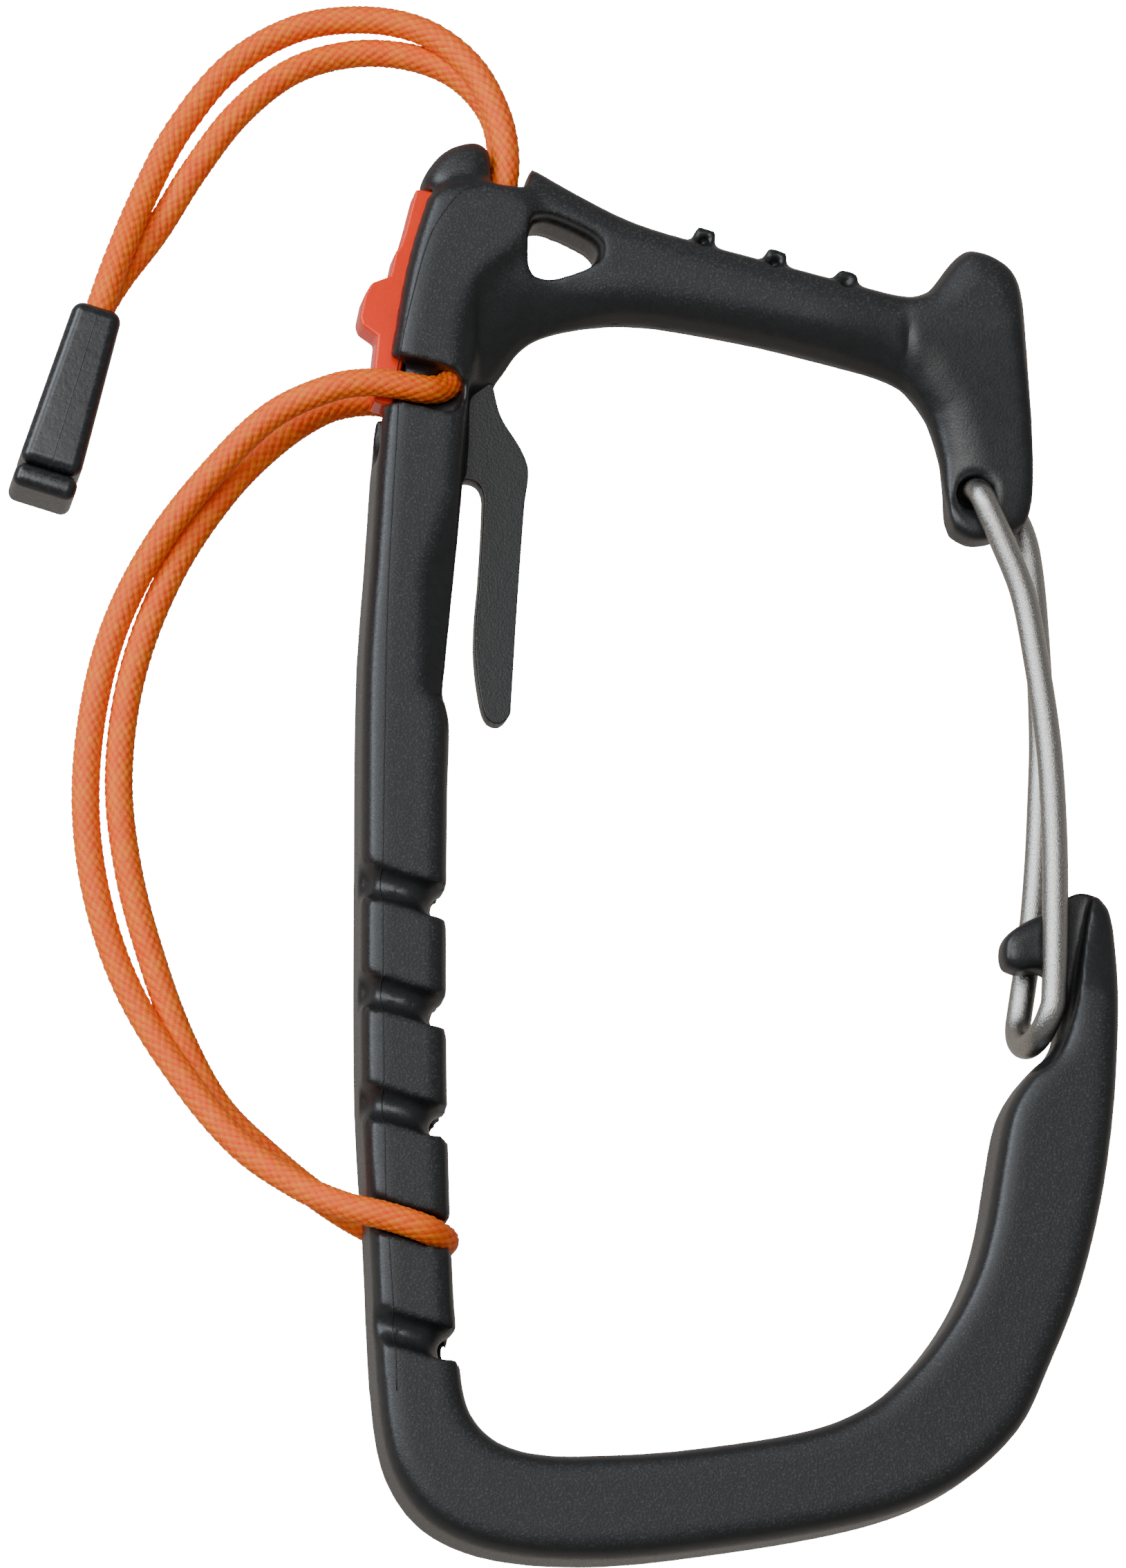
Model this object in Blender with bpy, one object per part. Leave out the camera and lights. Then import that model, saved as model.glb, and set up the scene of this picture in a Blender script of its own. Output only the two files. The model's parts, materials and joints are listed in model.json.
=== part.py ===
"""Harness tool carabiner with a wire gate, an accessory cord, a cord lock and a cord end.

The carabiner lies on its side: X runs from the spine's back to the gate, Y from the hook up to
the head, Z through its thickness. The origin is under the middle of the body, on the surface.
Sizes are in millimetres and are turned into metres where a mesh is made.
"""

import math

import bmesh
import bpy
from mathutils import Matrix, Vector

MM = 0.001

# Driving sizes of the moulded frame
BODY_LENGTH = 149.8
BODY_WIDTH = 79.4
THICKNESS = 11.0
BODY_ROUNDING = 2.0
SPINE_WIDTH = 8.9
HANDLE_SINK = 0.8
HANDLE_ROUNDING = 2.8
LOBE_THICKNESS = 4.8
HOOD_SINK = 1.2
HOOD_ROUNDING = 2.6
TONGUE_THICKNESS = 2.4
GROOVE_COUNT = 5
FIRST_GROOVE = 21.2
GROOVE_PITCH = 11.5
GROOVE_WIDTH = 3.6
GROOVE_DEPTH = 1.5
GROOVE_SLANT = 0.27
FOOT_FLARE = 0.9
HOLE_FLARE = 0.4
SCOOP_LENGTH = 24.0
SCOOP_DEPTH = 3.2
BUMP_COUNT = 3
BUMP_WIDTH = 2.3
BUMP_LENGTH = 6.4
BUMP_RISE = 1.3

# Driving sizes of what fits into it
CORD_DIAMETER = 2.8
WIRE_DIAMETER = 2.7
SLIDER_THICKNESS = 4.4
SLIDER_TRAVEL = 5.0
SLIDER_LENGTH = 24.0
CORD_END_LENGTH = 21.0
CORD_END_WIDTH = 6.7
CORD_END_HEIGHT = 8.0
CAP_LENGTH = 2.6
STRIP_LENGTH = 10.8
STRIP_HEIGHT = 2.4
STRIP_DEPTH = 0.7

# Fits
FIT = 0.3
CORD_OVER_SLIDER = 0.4
PIVOT_PLAY = 0.5

MIDDLE = THICKNESS / 2
CORD_RADIUS = CORD_DIAMETER / 2
WIRE_RADIUS = WIRE_DIAMETER / 2
TOP = BODY_LENGTH
REACH = BODY_WIDTH

# The head and the lobe keep their own widths, and the handle and the hook span what is between
HEAD_REACH = 20.0
LOBE_REACH = 27.0

# Depths of the cord's two strands: side by side in the head, one on each face below it
STRAND_OFFSET = CORD_RADIUS + FIT / 2
NEAR_STRAND = MIDDLE + STRAND_OFFSET
FLOOR_STRAND = CORD_RADIUS + 0.15
NEAR_RECESS = MIDDLE + SLIDER_THICKNESS / 2 + CORD_OVER_SLIDER + CORD_RADIUS
NEAR_GROOVE = THICKNESS - GROOVE_DEPTH + CORD_RADIUS

# The wire's two legs run outside the lobe and the hook's tip, one on each side
LEG_OFFSET = LOBE_THICKNESS / 2 + FIT + WIRE_RADIUS
NEAR_PIVOT = (REACH - 14.4, TOP - 36.1)
FAR_PIVOT = (REACH - 13.0, TOP - 34.6)
PIVOT_DEPTH = 2.1
COUNTERSINK = 0.35

SLOT_Y = TOP - 27.4


def clear_scene():
    for obj in list(bpy.data.objects):
        bpy.data.objects.remove(obj, do_unlink=True)


def material(name, colour, roughness, metallic):
    made = bpy.data.materials.new(name)
    made.use_nodes = True
    shader = made.node_tree.nodes["Principled BSDF"]
    shader.inputs["Base Color"].default_value = (*colour, 1)
    shader.inputs["Roughness"].default_value = roughness
    shader.inputs["Metallic"].default_value = metallic
    return made


def smooth_run(points, step):
    """Points about a step apart on a smooth curve through the given ones, without the last."""
    pts = [Vector(p) for p in points]
    before = pts[0] * 2 - pts[1]
    after = pts[-1] * 2 - pts[-2]
    pts = [before, *pts, after]
    out = []
    for i in range(1, len(pts) - 2):
        p0, p1, p2, p3 = pts[i - 1 : i + 3]
        chord = (p2 - p1).length
        m1 = (p2 - p0) * (chord / max((p2 - p1).length + (p1 - p0).length, 1e-6))
        m2 = (p3 - p1) * (chord / max((p3 - p2).length + (p2 - p1).length, 1e-6))
        count = max(1, math.ceil(chord / step))
        for k in range(count):
            t = k / count
            a = 2 * t**3 - 3 * t**2 + 1
            b = t**3 - 2 * t**2 + t
            c = -2 * t**3 + 3 * t**2
            d = t**3 - t**2
            out.append(p1 * a + m1 * b + p2 * c + m2 * d)
    return out


def outline(*runs, step=2.2):
    """A closed outline of smooth runs that meet at corners. Each run ends where the next starts."""
    points = []
    for i, run in enumerate(runs):
        following = runs[(i + 1) % len(runs)]
        points += smooth_run([*run, following[0]], step)
    return points


def new_object(name, mesh_builder, paint=None):
    mesh = bpy.data.meshes.new(name)
    mesh_builder.to_mesh(mesh)
    mesh_builder.free()
    obj = bpy.data.objects.new(name, mesh)
    bpy.context.collection.objects.link(obj)
    if paint:
        mesh.materials.append(paint)
    return obj


def inset(points, distance):
    """The outline moved inwards. Where a tight corner would fold over, its points close up."""
    count = len(points)
    area = sum(points[i - 1][0] * points[i][1] - points[i][0] * points[i - 1][1] for i in range(count))
    side = 1 if area > 0 else -1
    ring = []
    for i in range(count):
        here = Vector(points[i][:2])
        before = (here - Vector(points[i - 1][:2])).normalized()
        after = (Vector(points[(i + 1) % count][:2]) - here).normalized()
        inward = Vector((-(before.y + after.y), before.x + after.x)).normalized() * side
        stretch = max(0.6, inward.dot(Vector((-before.y, before.x)) * side))
        ring.append(here + inward * (distance / stretch))
    for _ in range(40):
        folded = False
        for i in range(count):
            j = (i + 1) % count
            edge = Vector(points[j][:2]) - Vector(points[i][:2])
            if (ring[j] - ring[i]).dot(edge) < -1e-9:
                ring[i] = ring[j] = (ring[i] + ring[j]) / 2
                folded = True
        if not folded:
            break
    return ring


def plate(name, points, low, high, rounding=0.0, paint=None, segments=2):
    """An outline extruded from low to high, with its two rims rounded."""
    levels = [(0.0, low), (0.0, high)]
    if rounding:
        quarter = [math.pi / 2 * i / segments for i in range(segments + 1)]
        rise = [(rounding * (1 - math.sin(a)), rounding * (1 - math.cos(a))) for a in quarter]
        levels = [(inwards, low + up) for inwards, up in rise]
        levels += [(inwards, high - up) for inwards, up in reversed(rise)]
    bm = bmesh.new()
    rings = []
    for inwards, z in levels:
        flat = inset(points, inwards) if inwards > 1e-6 else points
        rings.append([bm.verts.new((p[0] * MM, p[1] * MM, z * MM)) for p in flat])
    count = len(points)
    for lower, upper in zip(rings, rings[1:]):
        for i in range(count):
            j = (i + 1) % count
            bm.faces.new((lower[i], lower[j], upper[j], upper[i]))
    bm.faces.new(rings[0])
    bm.faces.new(rings[-1])
    bmesh.ops.remove_doubles(bm, verts=bm.verts, dist=1e-6)
    bmesh.ops.dissolve_degenerate(bm, edges=bm.edges, dist=1e-6)
    bmesh.ops.recalc_face_normals(bm, faces=bm.faces)
    return new_object(name, bm, paint)


def box(name, low, high, rounding=0.0, paint=None):
    bm = bmesh.new()
    middle = [(a + b) / 2 * MM for a, b in zip(low, high)]
    size = [(b - a) * MM for a, b in zip(low, high)]
    bmesh.ops.create_cube(bm, size=1, matrix=Matrix.Translation(middle) @ Matrix.Diagonal((*size, 1)))
    if rounding:
        bmesh.ops.bevel(
            bm,
            geom=bm.edges[:],
            offset=rounding * MM,
            segments=2,
            profile=0.5,
            affect="EDGES",
            material=-1,
        )
    return new_object(name, bm, paint)


def tube(name, points, diameter, resolution, paint=None):
    """A round tube along the points, with closed ends."""
    curve = bpy.data.curves.new(name, "CURVE")
    curve.dimensions = "3D"
    curve.bevel_depth = diameter / 2 * MM
    curve.bevel_resolution = resolution
    curve.use_fill_caps = True
    spline = curve.splines.new("POLY")
    spline.points.add(len(points) - 1)
    for slot, point in zip(spline.points, points):
        slot.co = (*(Vector(point) * MM), 1)
    for polished in curve.splines:
        polished.use_smooth = True
    obj = bpy.data.objects.new(name, curve)
    bpy.context.collection.objects.link(obj)
    if paint:
        curve.materials.append(paint)
    return obj


def as_mesh(obj):
    """The same shape as a welded mesh object, which a Boolean can cut with."""
    bpy.context.view_layer.update()
    graph = bpy.context.evaluated_depsgraph_get()
    mesh = bpy.data.meshes.new_from_object(obj.evaluated_get(graph))
    bm = bmesh.new()
    bm.from_mesh(mesh)
    bmesh.ops.remove_doubles(bm, verts=bm.verts, dist=1e-7)
    bmesh.ops.recalc_face_normals(bm, faces=bm.faces)
    name = obj.name
    bpy.data.objects.remove(obj, do_unlink=True)
    return new_object(name, bm)


def helper(obj):
    obj.hide_render = True
    obj.display_type = "WIRE"
    return obj


def combine(target, other, operation, crosses_itself=False):
    step = target.modifiers.new(f"{operation.lower()} {other.name}", "BOOLEAN")
    step.operation = operation
    step.solver = "EXACT"
    step.use_self = crosses_itself
    step.object = helper(other)


def shade(obj, angle=35):
    obj.data.shade_smooth()
    obj.data.set_sharp_from_angle(angle=math.radians(angle))


def polar(centre, radius, first, last, count):
    """Points on an arc, in degrees."""
    angles = [math.radians(first + (last - first) * i / (count - 1)) for i in range(count)]
    return [(centre[0] + radius * math.cos(a), centre[1] + radius * math.sin(a)) for a in angles]


def across(share):
    """A place along X between the head and the lobe, as a share of the way."""
    return HEAD_REACH + share * (REACH - LOBE_REACH - HEAD_REACH)


def backbone_outline():
    """Head, spine, hook bottom, arm and hook tip as one outline, clockwise from the head's back."""
    back = [
        (6.6, TOP - 6.6), (4.9, TOP - 12.2), (3.6, TOP - 18.5), (2.7, TOP - 25.0), (1.7, TOP - 33.0),
        (0.9, TOP - 45.0), (0.1, 92.0), (0.0, 70.0), (0.2, 46.7), (1.1, 32.3), (2.1, 15.5),
        (3.6, 8.5), (7.2, 3.6), (13.4, 0.8), (across(0.09), 0.0), (across(0.429), 1.0), (across(0.988), 4.4),
    ]
    arm = [
        (REACH - 18.0, 8.2), (REACH - 11.2, 14.2), (REACH - 7.6, 21.5), (REACH - 5.0, 27.8),
        (REACH - 3.1, 34.2), (REACH - 1.6, 41.3), (REACH - 0.5, 50.0), (REACH, 60.4),
        (REACH - 0.1, 66.0), (REACH - 0.6, 69.4), (REACH - 1.9, 71.0), (REACH - 3.6, 71.3),
        (REACH - 5.6, 70.2), (REACH - 6.9, 67.8), (REACH - 7.0, 64.0),
        (REACH - 6.3, 60.0), (REACH - 6.2, 56.0), (REACH - 7.2, 53.8), (REACH - 8.6, 52.6),
        (REACH - 10.3, 50.6),
        (REACH - 12.1, 47.4), (REACH - 13.3, 41.6), (REACH - 14.3, 35.8), (REACH - 15.8, 30.5),
        (REACH - 18.2, 25.6), (REACH - 21.8, 20.8), (REACH - 26.5, 16.6), (across(0.83), 13.9),
        (across(0.444), 11.6), (across(0.185), 10.8), (18.5, 10.7), (14.0, 12.0), (11.4, 14.8),
        (SPINE_WIDTH + 1.5, 19.6),
        (SPINE_WIDTH + 0.8, 27.9), (SPINE_WIDTH + 0.2, 44.0), (SPINE_WIDTH, 62.0),
        (SPINE_WIDTH + 0.1, 80.0), (SPINE_WIDTH + 0.2, TOP - 62.7),
    ]
    notch = [(SPINE_WIDTH - 0.5, TOP - 60.2)]
    head = [
        (SPINE_WIDTH + 0.3, TOP - 51.7), (SPINE_WIDTH + 1.3, TOP - 41.0), (SPINE_WIDTH + 1.9, TOP - 33.0),
        (SPINE_WIDTH + 2.3, TOP - 26.0), (SPINE_WIDTH + 2.6, TOP - 20.5), (SPINE_WIDTH + 4.3, TOP - 16.4),
        (SPINE_WIDTH + 7.4, TOP - 13.6), (SPINE_WIDTH + 9.6, TOP - 11.0),
    ]
    top = [
        (SPINE_WIDTH + 10.0, TOP - 7.6), (SPINE_WIDTH + 8.2, TOP - 5.0), (13.8, TOP - 4.3), (10.2, TOP - 4.6),
        (8.0, TOP - 5.2),
    ]
    return outline(back + arm, notch, head + top)


def nub_outline():
    """The fin at the hook's tip that the wire's loop closes round."""
    return outline(
        [
            (REACH - 5.0, 70.0), (REACH - 7.6, 68.9), (REACH - 9.9, 67.7), (REACH - 11.6, 66.3),
            (REACH - 12.0, 64.6), (REACH - 11.6, 63.1), (REACH - 10.4, 62.6), (REACH - 8.2, 62.9),
            (REACH - 6.0, 62.6), (REACH - 4.4, 65.5),
        ],
        step=1.5,
    )


def handle_outline():
    """The carrying handle from the head to the lobe that holds the gate."""
    edge = [
        (11.0, TOP - 7.2), (14.2, TOP - 3.8), (17.6, TOP - 2.4), (19.4, TOP - 3.4),
        (across(0.114), TOP - 5.7), (across(0.262), TOP - 7.9), (across(0.444), TOP - 9.6),
        (across(0.679), TOP - 11.4),
        (REACH - 26.9, TOP - 13.8), (REACH - 21.0, TOP - 14.9),
        (REACH - 19.2, TOP - 14.3), (REACH - 17.0, TOP - 11.3), (REACH - 14.9, TOP - 9.4),
        (REACH - 12.8, TOP - 9.8), (REACH - 10.2, TOP - 11.4), (REACH - 9.1, TOP - 14.0),
        (REACH - 8.5, TOP - 21.7), (REACH - 8.1, TOP - 29.0), (REACH - 8.1, TOP - 36.0),
        (REACH - 9.0, TOP - 39.3), (REACH - 11.6, TOP - 40.6), (REACH - 14.7, TOP - 41.2),
        (REACH - 16.6, TOP - 40.2), (REACH - 17.3, TOP - 36.8), (REACH - 17.8, TOP - 32.6),
        (REACH - 19.2, TOP - 28.0), (REACH - 21.6, TOP - 24.8), (REACH - 25.0, TOP - 23.3),
        (across(0.694), TOP - 20.6), (across(0.361), TOP - 19.0), (across(0.216), TOP - 18.9),
        (across(0.071), TOP - 19.6), (18.6, TOP - 20.8), (16.4, TOP - 22.6), (14.0, TOP - 26.2),
        (10.8, TOP - 27.4), (7.9, TOP - 25.2), (7.2, TOP - 20.0), (8.2, TOP - 13.0),
    ]
    return outline(edge)


def tongue_outline():
    """The thin flexing tongue beside the spine, with its root inside the head."""
    root = [(8.0, TOP - 26.0), (14.0, TOP - 25.0)]
    outer = [
        (13.9, TOP - 26.1), (14.8, TOP - 29.6), (16.9, TOP - 33.0), (17.7, TOP - 35.3),
        (17.3, TOP - 39.0), (16.5, TOP - 50.4), (15.9, TOP - 60.5), (15.8, TOP - 61.6),
        (14.8, TOP - 62.6), (13.6, TOP - 62.3), (12.9, TOP - 60.8), (12.2, TOP - 56.0),
        (12.2, TOP - 51.8), (12.6, TOP - 47.0), (13.2, TOP - 38.0),
    ]
    crook = [(13.0, TOP - 36.7), (11.6, TOP - 36.4), (9.0, TOP - 36.6)]
    return outline(root, outer, crook, step=2.6)


def hood_outline():
    """The ridge over the head's back, which guides the cord and covers the slider's tips."""
    crown = [
        (6.1, TOP - 4.7), (7.0, TOP - 2.9), (8.5, TOP - 1.1), (10.6, TOP - 0.1), (12.5, TOP),
        (13.5, TOP - 0.9),
    ]
    front = [
        (14.3, TOP - 4.0), (14.4, TOP - 9.0), (12.8, TOP - 13.6), (10.0, TOP - 13.4), (8.4, TOP - 9.4),
        (7.0, TOP - 6.2),
    ]
    return outline(crown + front, step=1.8)


def cord_route():
    """The cord from end to end: barrel, upper loop, head, lower loop, a groove and back again."""
    groove = FIRST_GROOVE + GROOVE_PITCH
    turn = SPINE_WIDTH + 0.3 - GROOVE_DEPTH + CORD_RADIUS
    rise = GROOVE_SLANT * (turn - 2.6)
    upper_near = [
        (-28.6, TOP - 23.8, 5.65), (-27.5, TOP - 19.8, 5.6), (-25.4, TOP - 13.4, 4.6),
        (-22.3, TOP - 5.4, 2.4), (-18.8, TOP + 1.8, FLOOR_STRAND), (-13.2, TOP + 9.1, FLOOR_STRAND),
        (-6.4, TOP + 13.3, 2.0), (0.8, TOP + 14.2, 3.2), (6.9, TOP + 12.7, 4.5), (11.6, TOP + 8.8, 5.7),
        (14.4, TOP + 3.2, 6.6),
    ]
    down_near = [
        (15.2, TOP - 1.8, NEAR_STRAND), (14.7, TOP - 6.3, NEAR_STRAND), (13.4, TOP - 12.0, NEAR_STRAND),
        (11.9, TOP - 17.8, NEAR_STRAND), (10.9, TOP - 22.6, NEAR_STRAND),
        (10.1, TOP - 25.2, NEAR_STRAND), (8.7, TOP - 26.9, NEAR_STRAND + 0.5),
        (6.8, SLOT_Y - 0.2, NEAR_RECESS - 0.7), (4.6, SLOT_Y - 0.1, NEAR_RECESS - 0.1),
        (1.2, SLOT_Y + 0.2, NEAR_RECESS),
    ]
    lower_near = [
        (-3.2, SLOT_Y - 0.4, 9.0), (-9.3, SLOT_Y - 3.1, 7.2), (-14.9, SLOT_Y - 8.5, 5.0),
        (-20.6, SLOT_Y - 16.0, 3.0), (-24.9, SLOT_Y - 24.8, 1.7), (-27.2, 88.1, FLOOR_STRAND),
        (-27.8, 78.1, FLOOR_STRAND), (-26.5, 68.6, FLOOR_STRAND), (-23.3, groove + 26.6, 1.7),
        (-18.2, groove + 17.9, 2.8), (-12.0, groove + 9.9, 5.0), (-6.0, groove + 5.2, 7.6),
        (-1.6, groove + 2.9, 9.8),
    ]
    wrap = [
        (2.6, groove + rise, NEAR_GROOVE), (turn - 2.6, groove + 0.6, NEAR_GROOVE - 0.1),
        (turn - 0.5, groove, NEAR_GROOVE - 2.2), (turn, groove, MIDDLE + 0.6),
        (turn - 0.5, groove, FLOOR_STRAND + 2.1), (turn - 2.6, groove + 0.6, FLOOR_STRAND + 0.1),
        (2.6, groove + rise, FLOOR_STRAND),
    ]
    lower_far = [
        (-2.6, groove + 4.7), (-8.4, groove + 9.2), (-13.6, groove + 14.2), (-17.4, groove + 20.8),
        (-20.6, groove + 29.1), (-23.3, 71.6), (-24.4, 81.5), (-23.1, SLOT_Y - 30.0),
        (-19.3, SLOT_Y - 19.4), (-13.9, SLOT_Y - 10.6), (-8.6, SLOT_Y - 4.8), (-3.3, SLOT_Y - 1.0),
    ]
    up_far = [(x, y, THICKNESS - z) for x, y, z in reversed(down_near)]
    upper_far = [
        (14.2, TOP + 3.8, 4.0), (10.8, TOP + 8.1, 3.5), (5.8, TOP + 10.4, 2.7), (-0.4, TOP + 10.8, 1.8),
        (-6.8, TOP + 8.7, FLOOR_STRAND), (-12.5, TOP + 3.8, FLOOR_STRAND), (-17.2, TOP - 2.8, FLOOR_STRAND),
        (-21.2, TOP - 9.6, FLOOR_STRAND), (-25.2, TOP - 15.4, 2.1), (-27.5, TOP - 19.8, 2.5),
        (-28.6, TOP - 23.8, 2.55),
    ]
    lower_far = [(x, y, FLOOR_STRAND) for x, y in lower_far]
    route = [*upper_near, *down_near, *lower_near, *wrap, *lower_far, *up_far, *upper_far]
    points = smooth_run(route, 10.0)
    return [*points, Vector(route[-1])]


def lengthened(route, extra):
    """The route with both of its ends moved outwards."""
    first = route[0] + (route[0] - route[1]).normalized() * extra
    last = route[-1] + (route[-1] - route[-2]).normalized() * extra
    return [first, *route[1:-1], last]


def groove_route(y, from_back):
    """Round the inner edge of the spine from face to face, rising towards the back on both."""
    flare = FOOT_FLARE * max(0.0, 1 - (y - FIRST_GROOVE) / GROOVE_PITCH)
    turn = SPINE_WIDTH + 0.3 + flare - GROOVE_DEPTH + CORD_RADIUS
    way = [
        (-0.9, MIDDLE + 1.6), (0.4, NEAR_GROOVE - 1.0), (2.6, NEAR_GROOVE),
        (turn - 2.6, NEAR_GROOVE - 0.1), (turn - 0.5, NEAR_GROOVE - 2.2),
        (turn, MIDDLE + 0.6), (turn - 0.5, FLOOR_STRAND + 2.1),
        (turn - 2.6, FLOOR_STRAND + 0.1), (from_back, FLOOR_STRAND), (from_back - 0.4, FLOOR_STRAND),
    ]
    return smooth_run([(x, y + GROOVE_SLANT * (turn - x), z) for x, z in way], 2.5)


def wire_route():
    """One bent wire: near end, near leg, loop round the hook's nub, far leg, far end."""
    near = MIDDLE + LEG_OFFSET
    far = MIDDLE - LEG_OFFSET
    inner = MIDDLE + LOBE_THICKNESS / 2 - PIVOT_DEPTH + FIT
    outer = MIDDLE - LOBE_THICKNESS / 2 + PIVOT_DEPTH - FIT
    near_leg = [
        (*NEAR_PIVOT, inner), (*NEAR_PIVOT, near - 1.35),
        (NEAR_PIVOT[0] + 0.35, NEAR_PIVOT[1] - 0.85, near - 0.25),
        (NEAR_PIVOT[0] + 1.2, NEAR_PIVOT[1] - 2.9, near), (REACH - 11.9, TOP - 42.0, near),
        (REACH - 9.9, TOP - 47.2, near), (REACH - 8.6, TOP - 54.0, near),
        (REACH - 7.3, TOP - 63.5, near), (REACH - 6.8, 77.0, near), (REACH - 6.8, 69.4, near),
    ]
    loop = []
    for i in range(9):
        angle = math.pi * i / 8
        loop.append(
            (
                REACH - 8.1 + 1.0 * math.cos(angle) - 0.9 * math.sin(angle),
                59.1 - LEG_OFFSET * math.sin(angle),
                MIDDLE + LEG_OFFSET * math.cos(angle),
            )
        )
    far_leg = [
        (REACH - 7.8, 67.5, far), (REACH - 7.1, 74.5, far), (REACH - 6.7, 81.0, far),
        (REACH - 6.4, TOP - 61.0, far), (REACH - 6.7, TOP - 51.0, far), (REACH - 7.6, TOP - 41.0, far),
        (REACH - 9.0, TOP - 37.0, far), (FAR_PIVOT[0] + 2.2, FAR_PIVOT[1] - 0.7, far),
        (FAR_PIVOT[0] + 0.8, FAR_PIVOT[1] - 0.25, far + 0.25), (*FAR_PIVOT, far + 1.35),
        (*FAR_PIVOT, outer),
    ]
    route = [*near_leg, *loop, *far_leg]
    points = smooth_run(route, 3.2)
    return [*points, Vector(route[-1])]


def cut_pivots(frame):
    """A blind hole on each face of the lobe, with a shallow countersink, a little off each other."""
    half = LOBE_THICKNESS / 2
    sides = (("near", NEAR_PIVOT, 1), ("far", FAR_PIVOT, -1))
    for name, centre, side in sides:
        bore = polar(centre, WIRE_RADIUS + PIVOT_PLAY, 0, 345, 24)
        ring = polar(centre, WIRE_RADIUS + PIVOT_PLAY + 0.7, 0, 345, 24)
        face = MIDDLE + side * half
        depth = sorted((face + side * 3, face - side * PIVOT_DEPTH))
        shallow = sorted((face + side * 3, face - side * COUNTERSINK))
        combine(frame, plate(f"{name}_pivot_hole", bore, *depth), "DIFFERENCE")
        combine(frame, plate(f"{name}_countersink", ring, *shallow), "DIFFERENCE")


def cut_lobe_faces(frame):
    """Both faces of the lobe step down to its thickness, on a slope at the handle's end."""
    half = LOBE_THICKNESS / 2
    profile = [
        (TOP - 50.0, MIDDLE + half), (TOP - 34.0, MIDDLE + half), (TOP - 29.0, MIDDLE + half + 0.45),
        (TOP - 23.0, MIDDLE + half + 1.3), (TOP - 17.0, MIDDLE + half + 1.9),
        (TOP - 12.0, MIDDLE + half + 2.6), (TOP - 12.0, THICKNESS + 4.0), (TOP - 50.0, THICKNESS + 4.0),
    ]
    for name, side in (("near", 1), ("far", -1)):
        bm = bmesh.new()
        corners = [
            bm.verts.new(((REACH - 22.0) * MM, y * MM, (MIDDLE + side * (z - MIDDLE)) * MM))
            for y, z in profile
        ]
        face = bm.faces.new(corners)
        grown = bmesh.ops.extrude_face_region(bm, geom=[face])
        moved = [v for v in grown["geom"] if isinstance(v, bmesh.types.BMVert)]
        bmesh.ops.translate(bm, verts=moved, vec=(20.0 * MM, 0, 0))
        bmesh.ops.recalc_face_normals(bm, faces=bm.faces)
        combine(frame, new_object(f"{name}_lobe_step", bm), "DIFFERENCE")


def cut_wire_seats(frame):
    """The pockets on both faces of the hook's tip in which the wire's legs lie."""
    seat = outline(
        [
            (REACH - 16.0, 74.0), (REACH - 16.0, 51.6),
        ],
        [
            (REACH - 9.6, 51.4), (REACH - 7.6, 52.3), (REACH - 6.2, 54.4), (REACH - 5.0, 58.0),
            (REACH - 3.9, 64.0), (REACH - 2.9, 69.0), (REACH - 2.0, 74.0),
        ],
        step=2.0,
    )
    half = LOBE_THICKNESS / 2
    combine(frame, plate("near_wire_seat", seat, MIDDLE + half, THICKNESS + 2), "DIFFERENCE")
    combine(frame, plate("far_wire_seat", seat, -2, MIDDLE - half), "DIFFERENCE")


def cut_slot(frame):
    """On each face a recess that leads the cord out of the head and off the spine's back."""
    recess = outline(
        [(-4.0, SLOT_Y + 4.3), (2.0, SLOT_Y + 3.3)],
        [
            (7.2, SLOT_Y + 2.4), (9.6, SLOT_Y + 1.6), (10.4, SLOT_Y + 0.4), (10.3, SLOT_Y - 1.4),
            (9.9, SLOT_Y - 2.5),
        ],
        [(8.7, SLOT_Y - 3.0), (3.4, SLOT_Y - 2.0), (-4.0, SLOT_Y - 1.2)],
        step=2.5,
    )
    depth = CORD_DIAMETER + FIT
    combine(frame, plate("near_slot", recess, THICKNESS - depth, THICKNESS + 2), "DIFFERENCE")
    combine(frame, plate("far_slot", recess, -2, depth), "DIFFERENCE")


SLIDER_BACK = [
    (1.3, TOP - 28.8), (1.3, TOP - 24.6), (1.6, TOP - 21.7), (0.0, TOP - 20.6), (-0.3, TOP - 19.7),
    (0.2, TOP - 17.3), (1.0, TOP - 15.9), (2.9, TOP - 15.1), (3.4, TOP - 12.6), (4.0, TOP - 11.7),
    (4.6, TOP - 9.5), (5.6, TOP - 5.5),
]
SLIDER_ANGLE = math.radians(13.5)
SLIDER_WAY = Vector((math.sin(SLIDER_ANGLE), math.cos(SLIDER_ANGLE)))


def slider_front(offset):
    """The straight inner side of the slider, moved inwards by an offset."""
    low = Vector((1.3, TOP - 28.8)) + Vector((SLIDER_WAY.y, -SLIDER_WAY.x)) * (1.9 + offset)
    high = low + SLIDER_WAY * SLIDER_LENGTH
    return low, high


def cut_slider_pocket(frame):
    """The slot in the spine's back in which the slider runs, long enough for its travel."""
    low, high = slider_front(FIT)
    low = low - SLIDER_WAY * (SLIDER_TRAVEL + FIT)
    high = high + SLIDER_WAY * FIT
    away = Vector((-SLIDER_WAY.y, SLIDER_WAY.x)) * 9.0
    shape = [(low + away), (high + away), high, low]
    half = SLIDER_THICKNESS / 2 + FIT
    combine(frame, plate("slider_pocket", shape, MIDDLE - half, MIDDLE + half), "DIFFERENCE")


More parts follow.
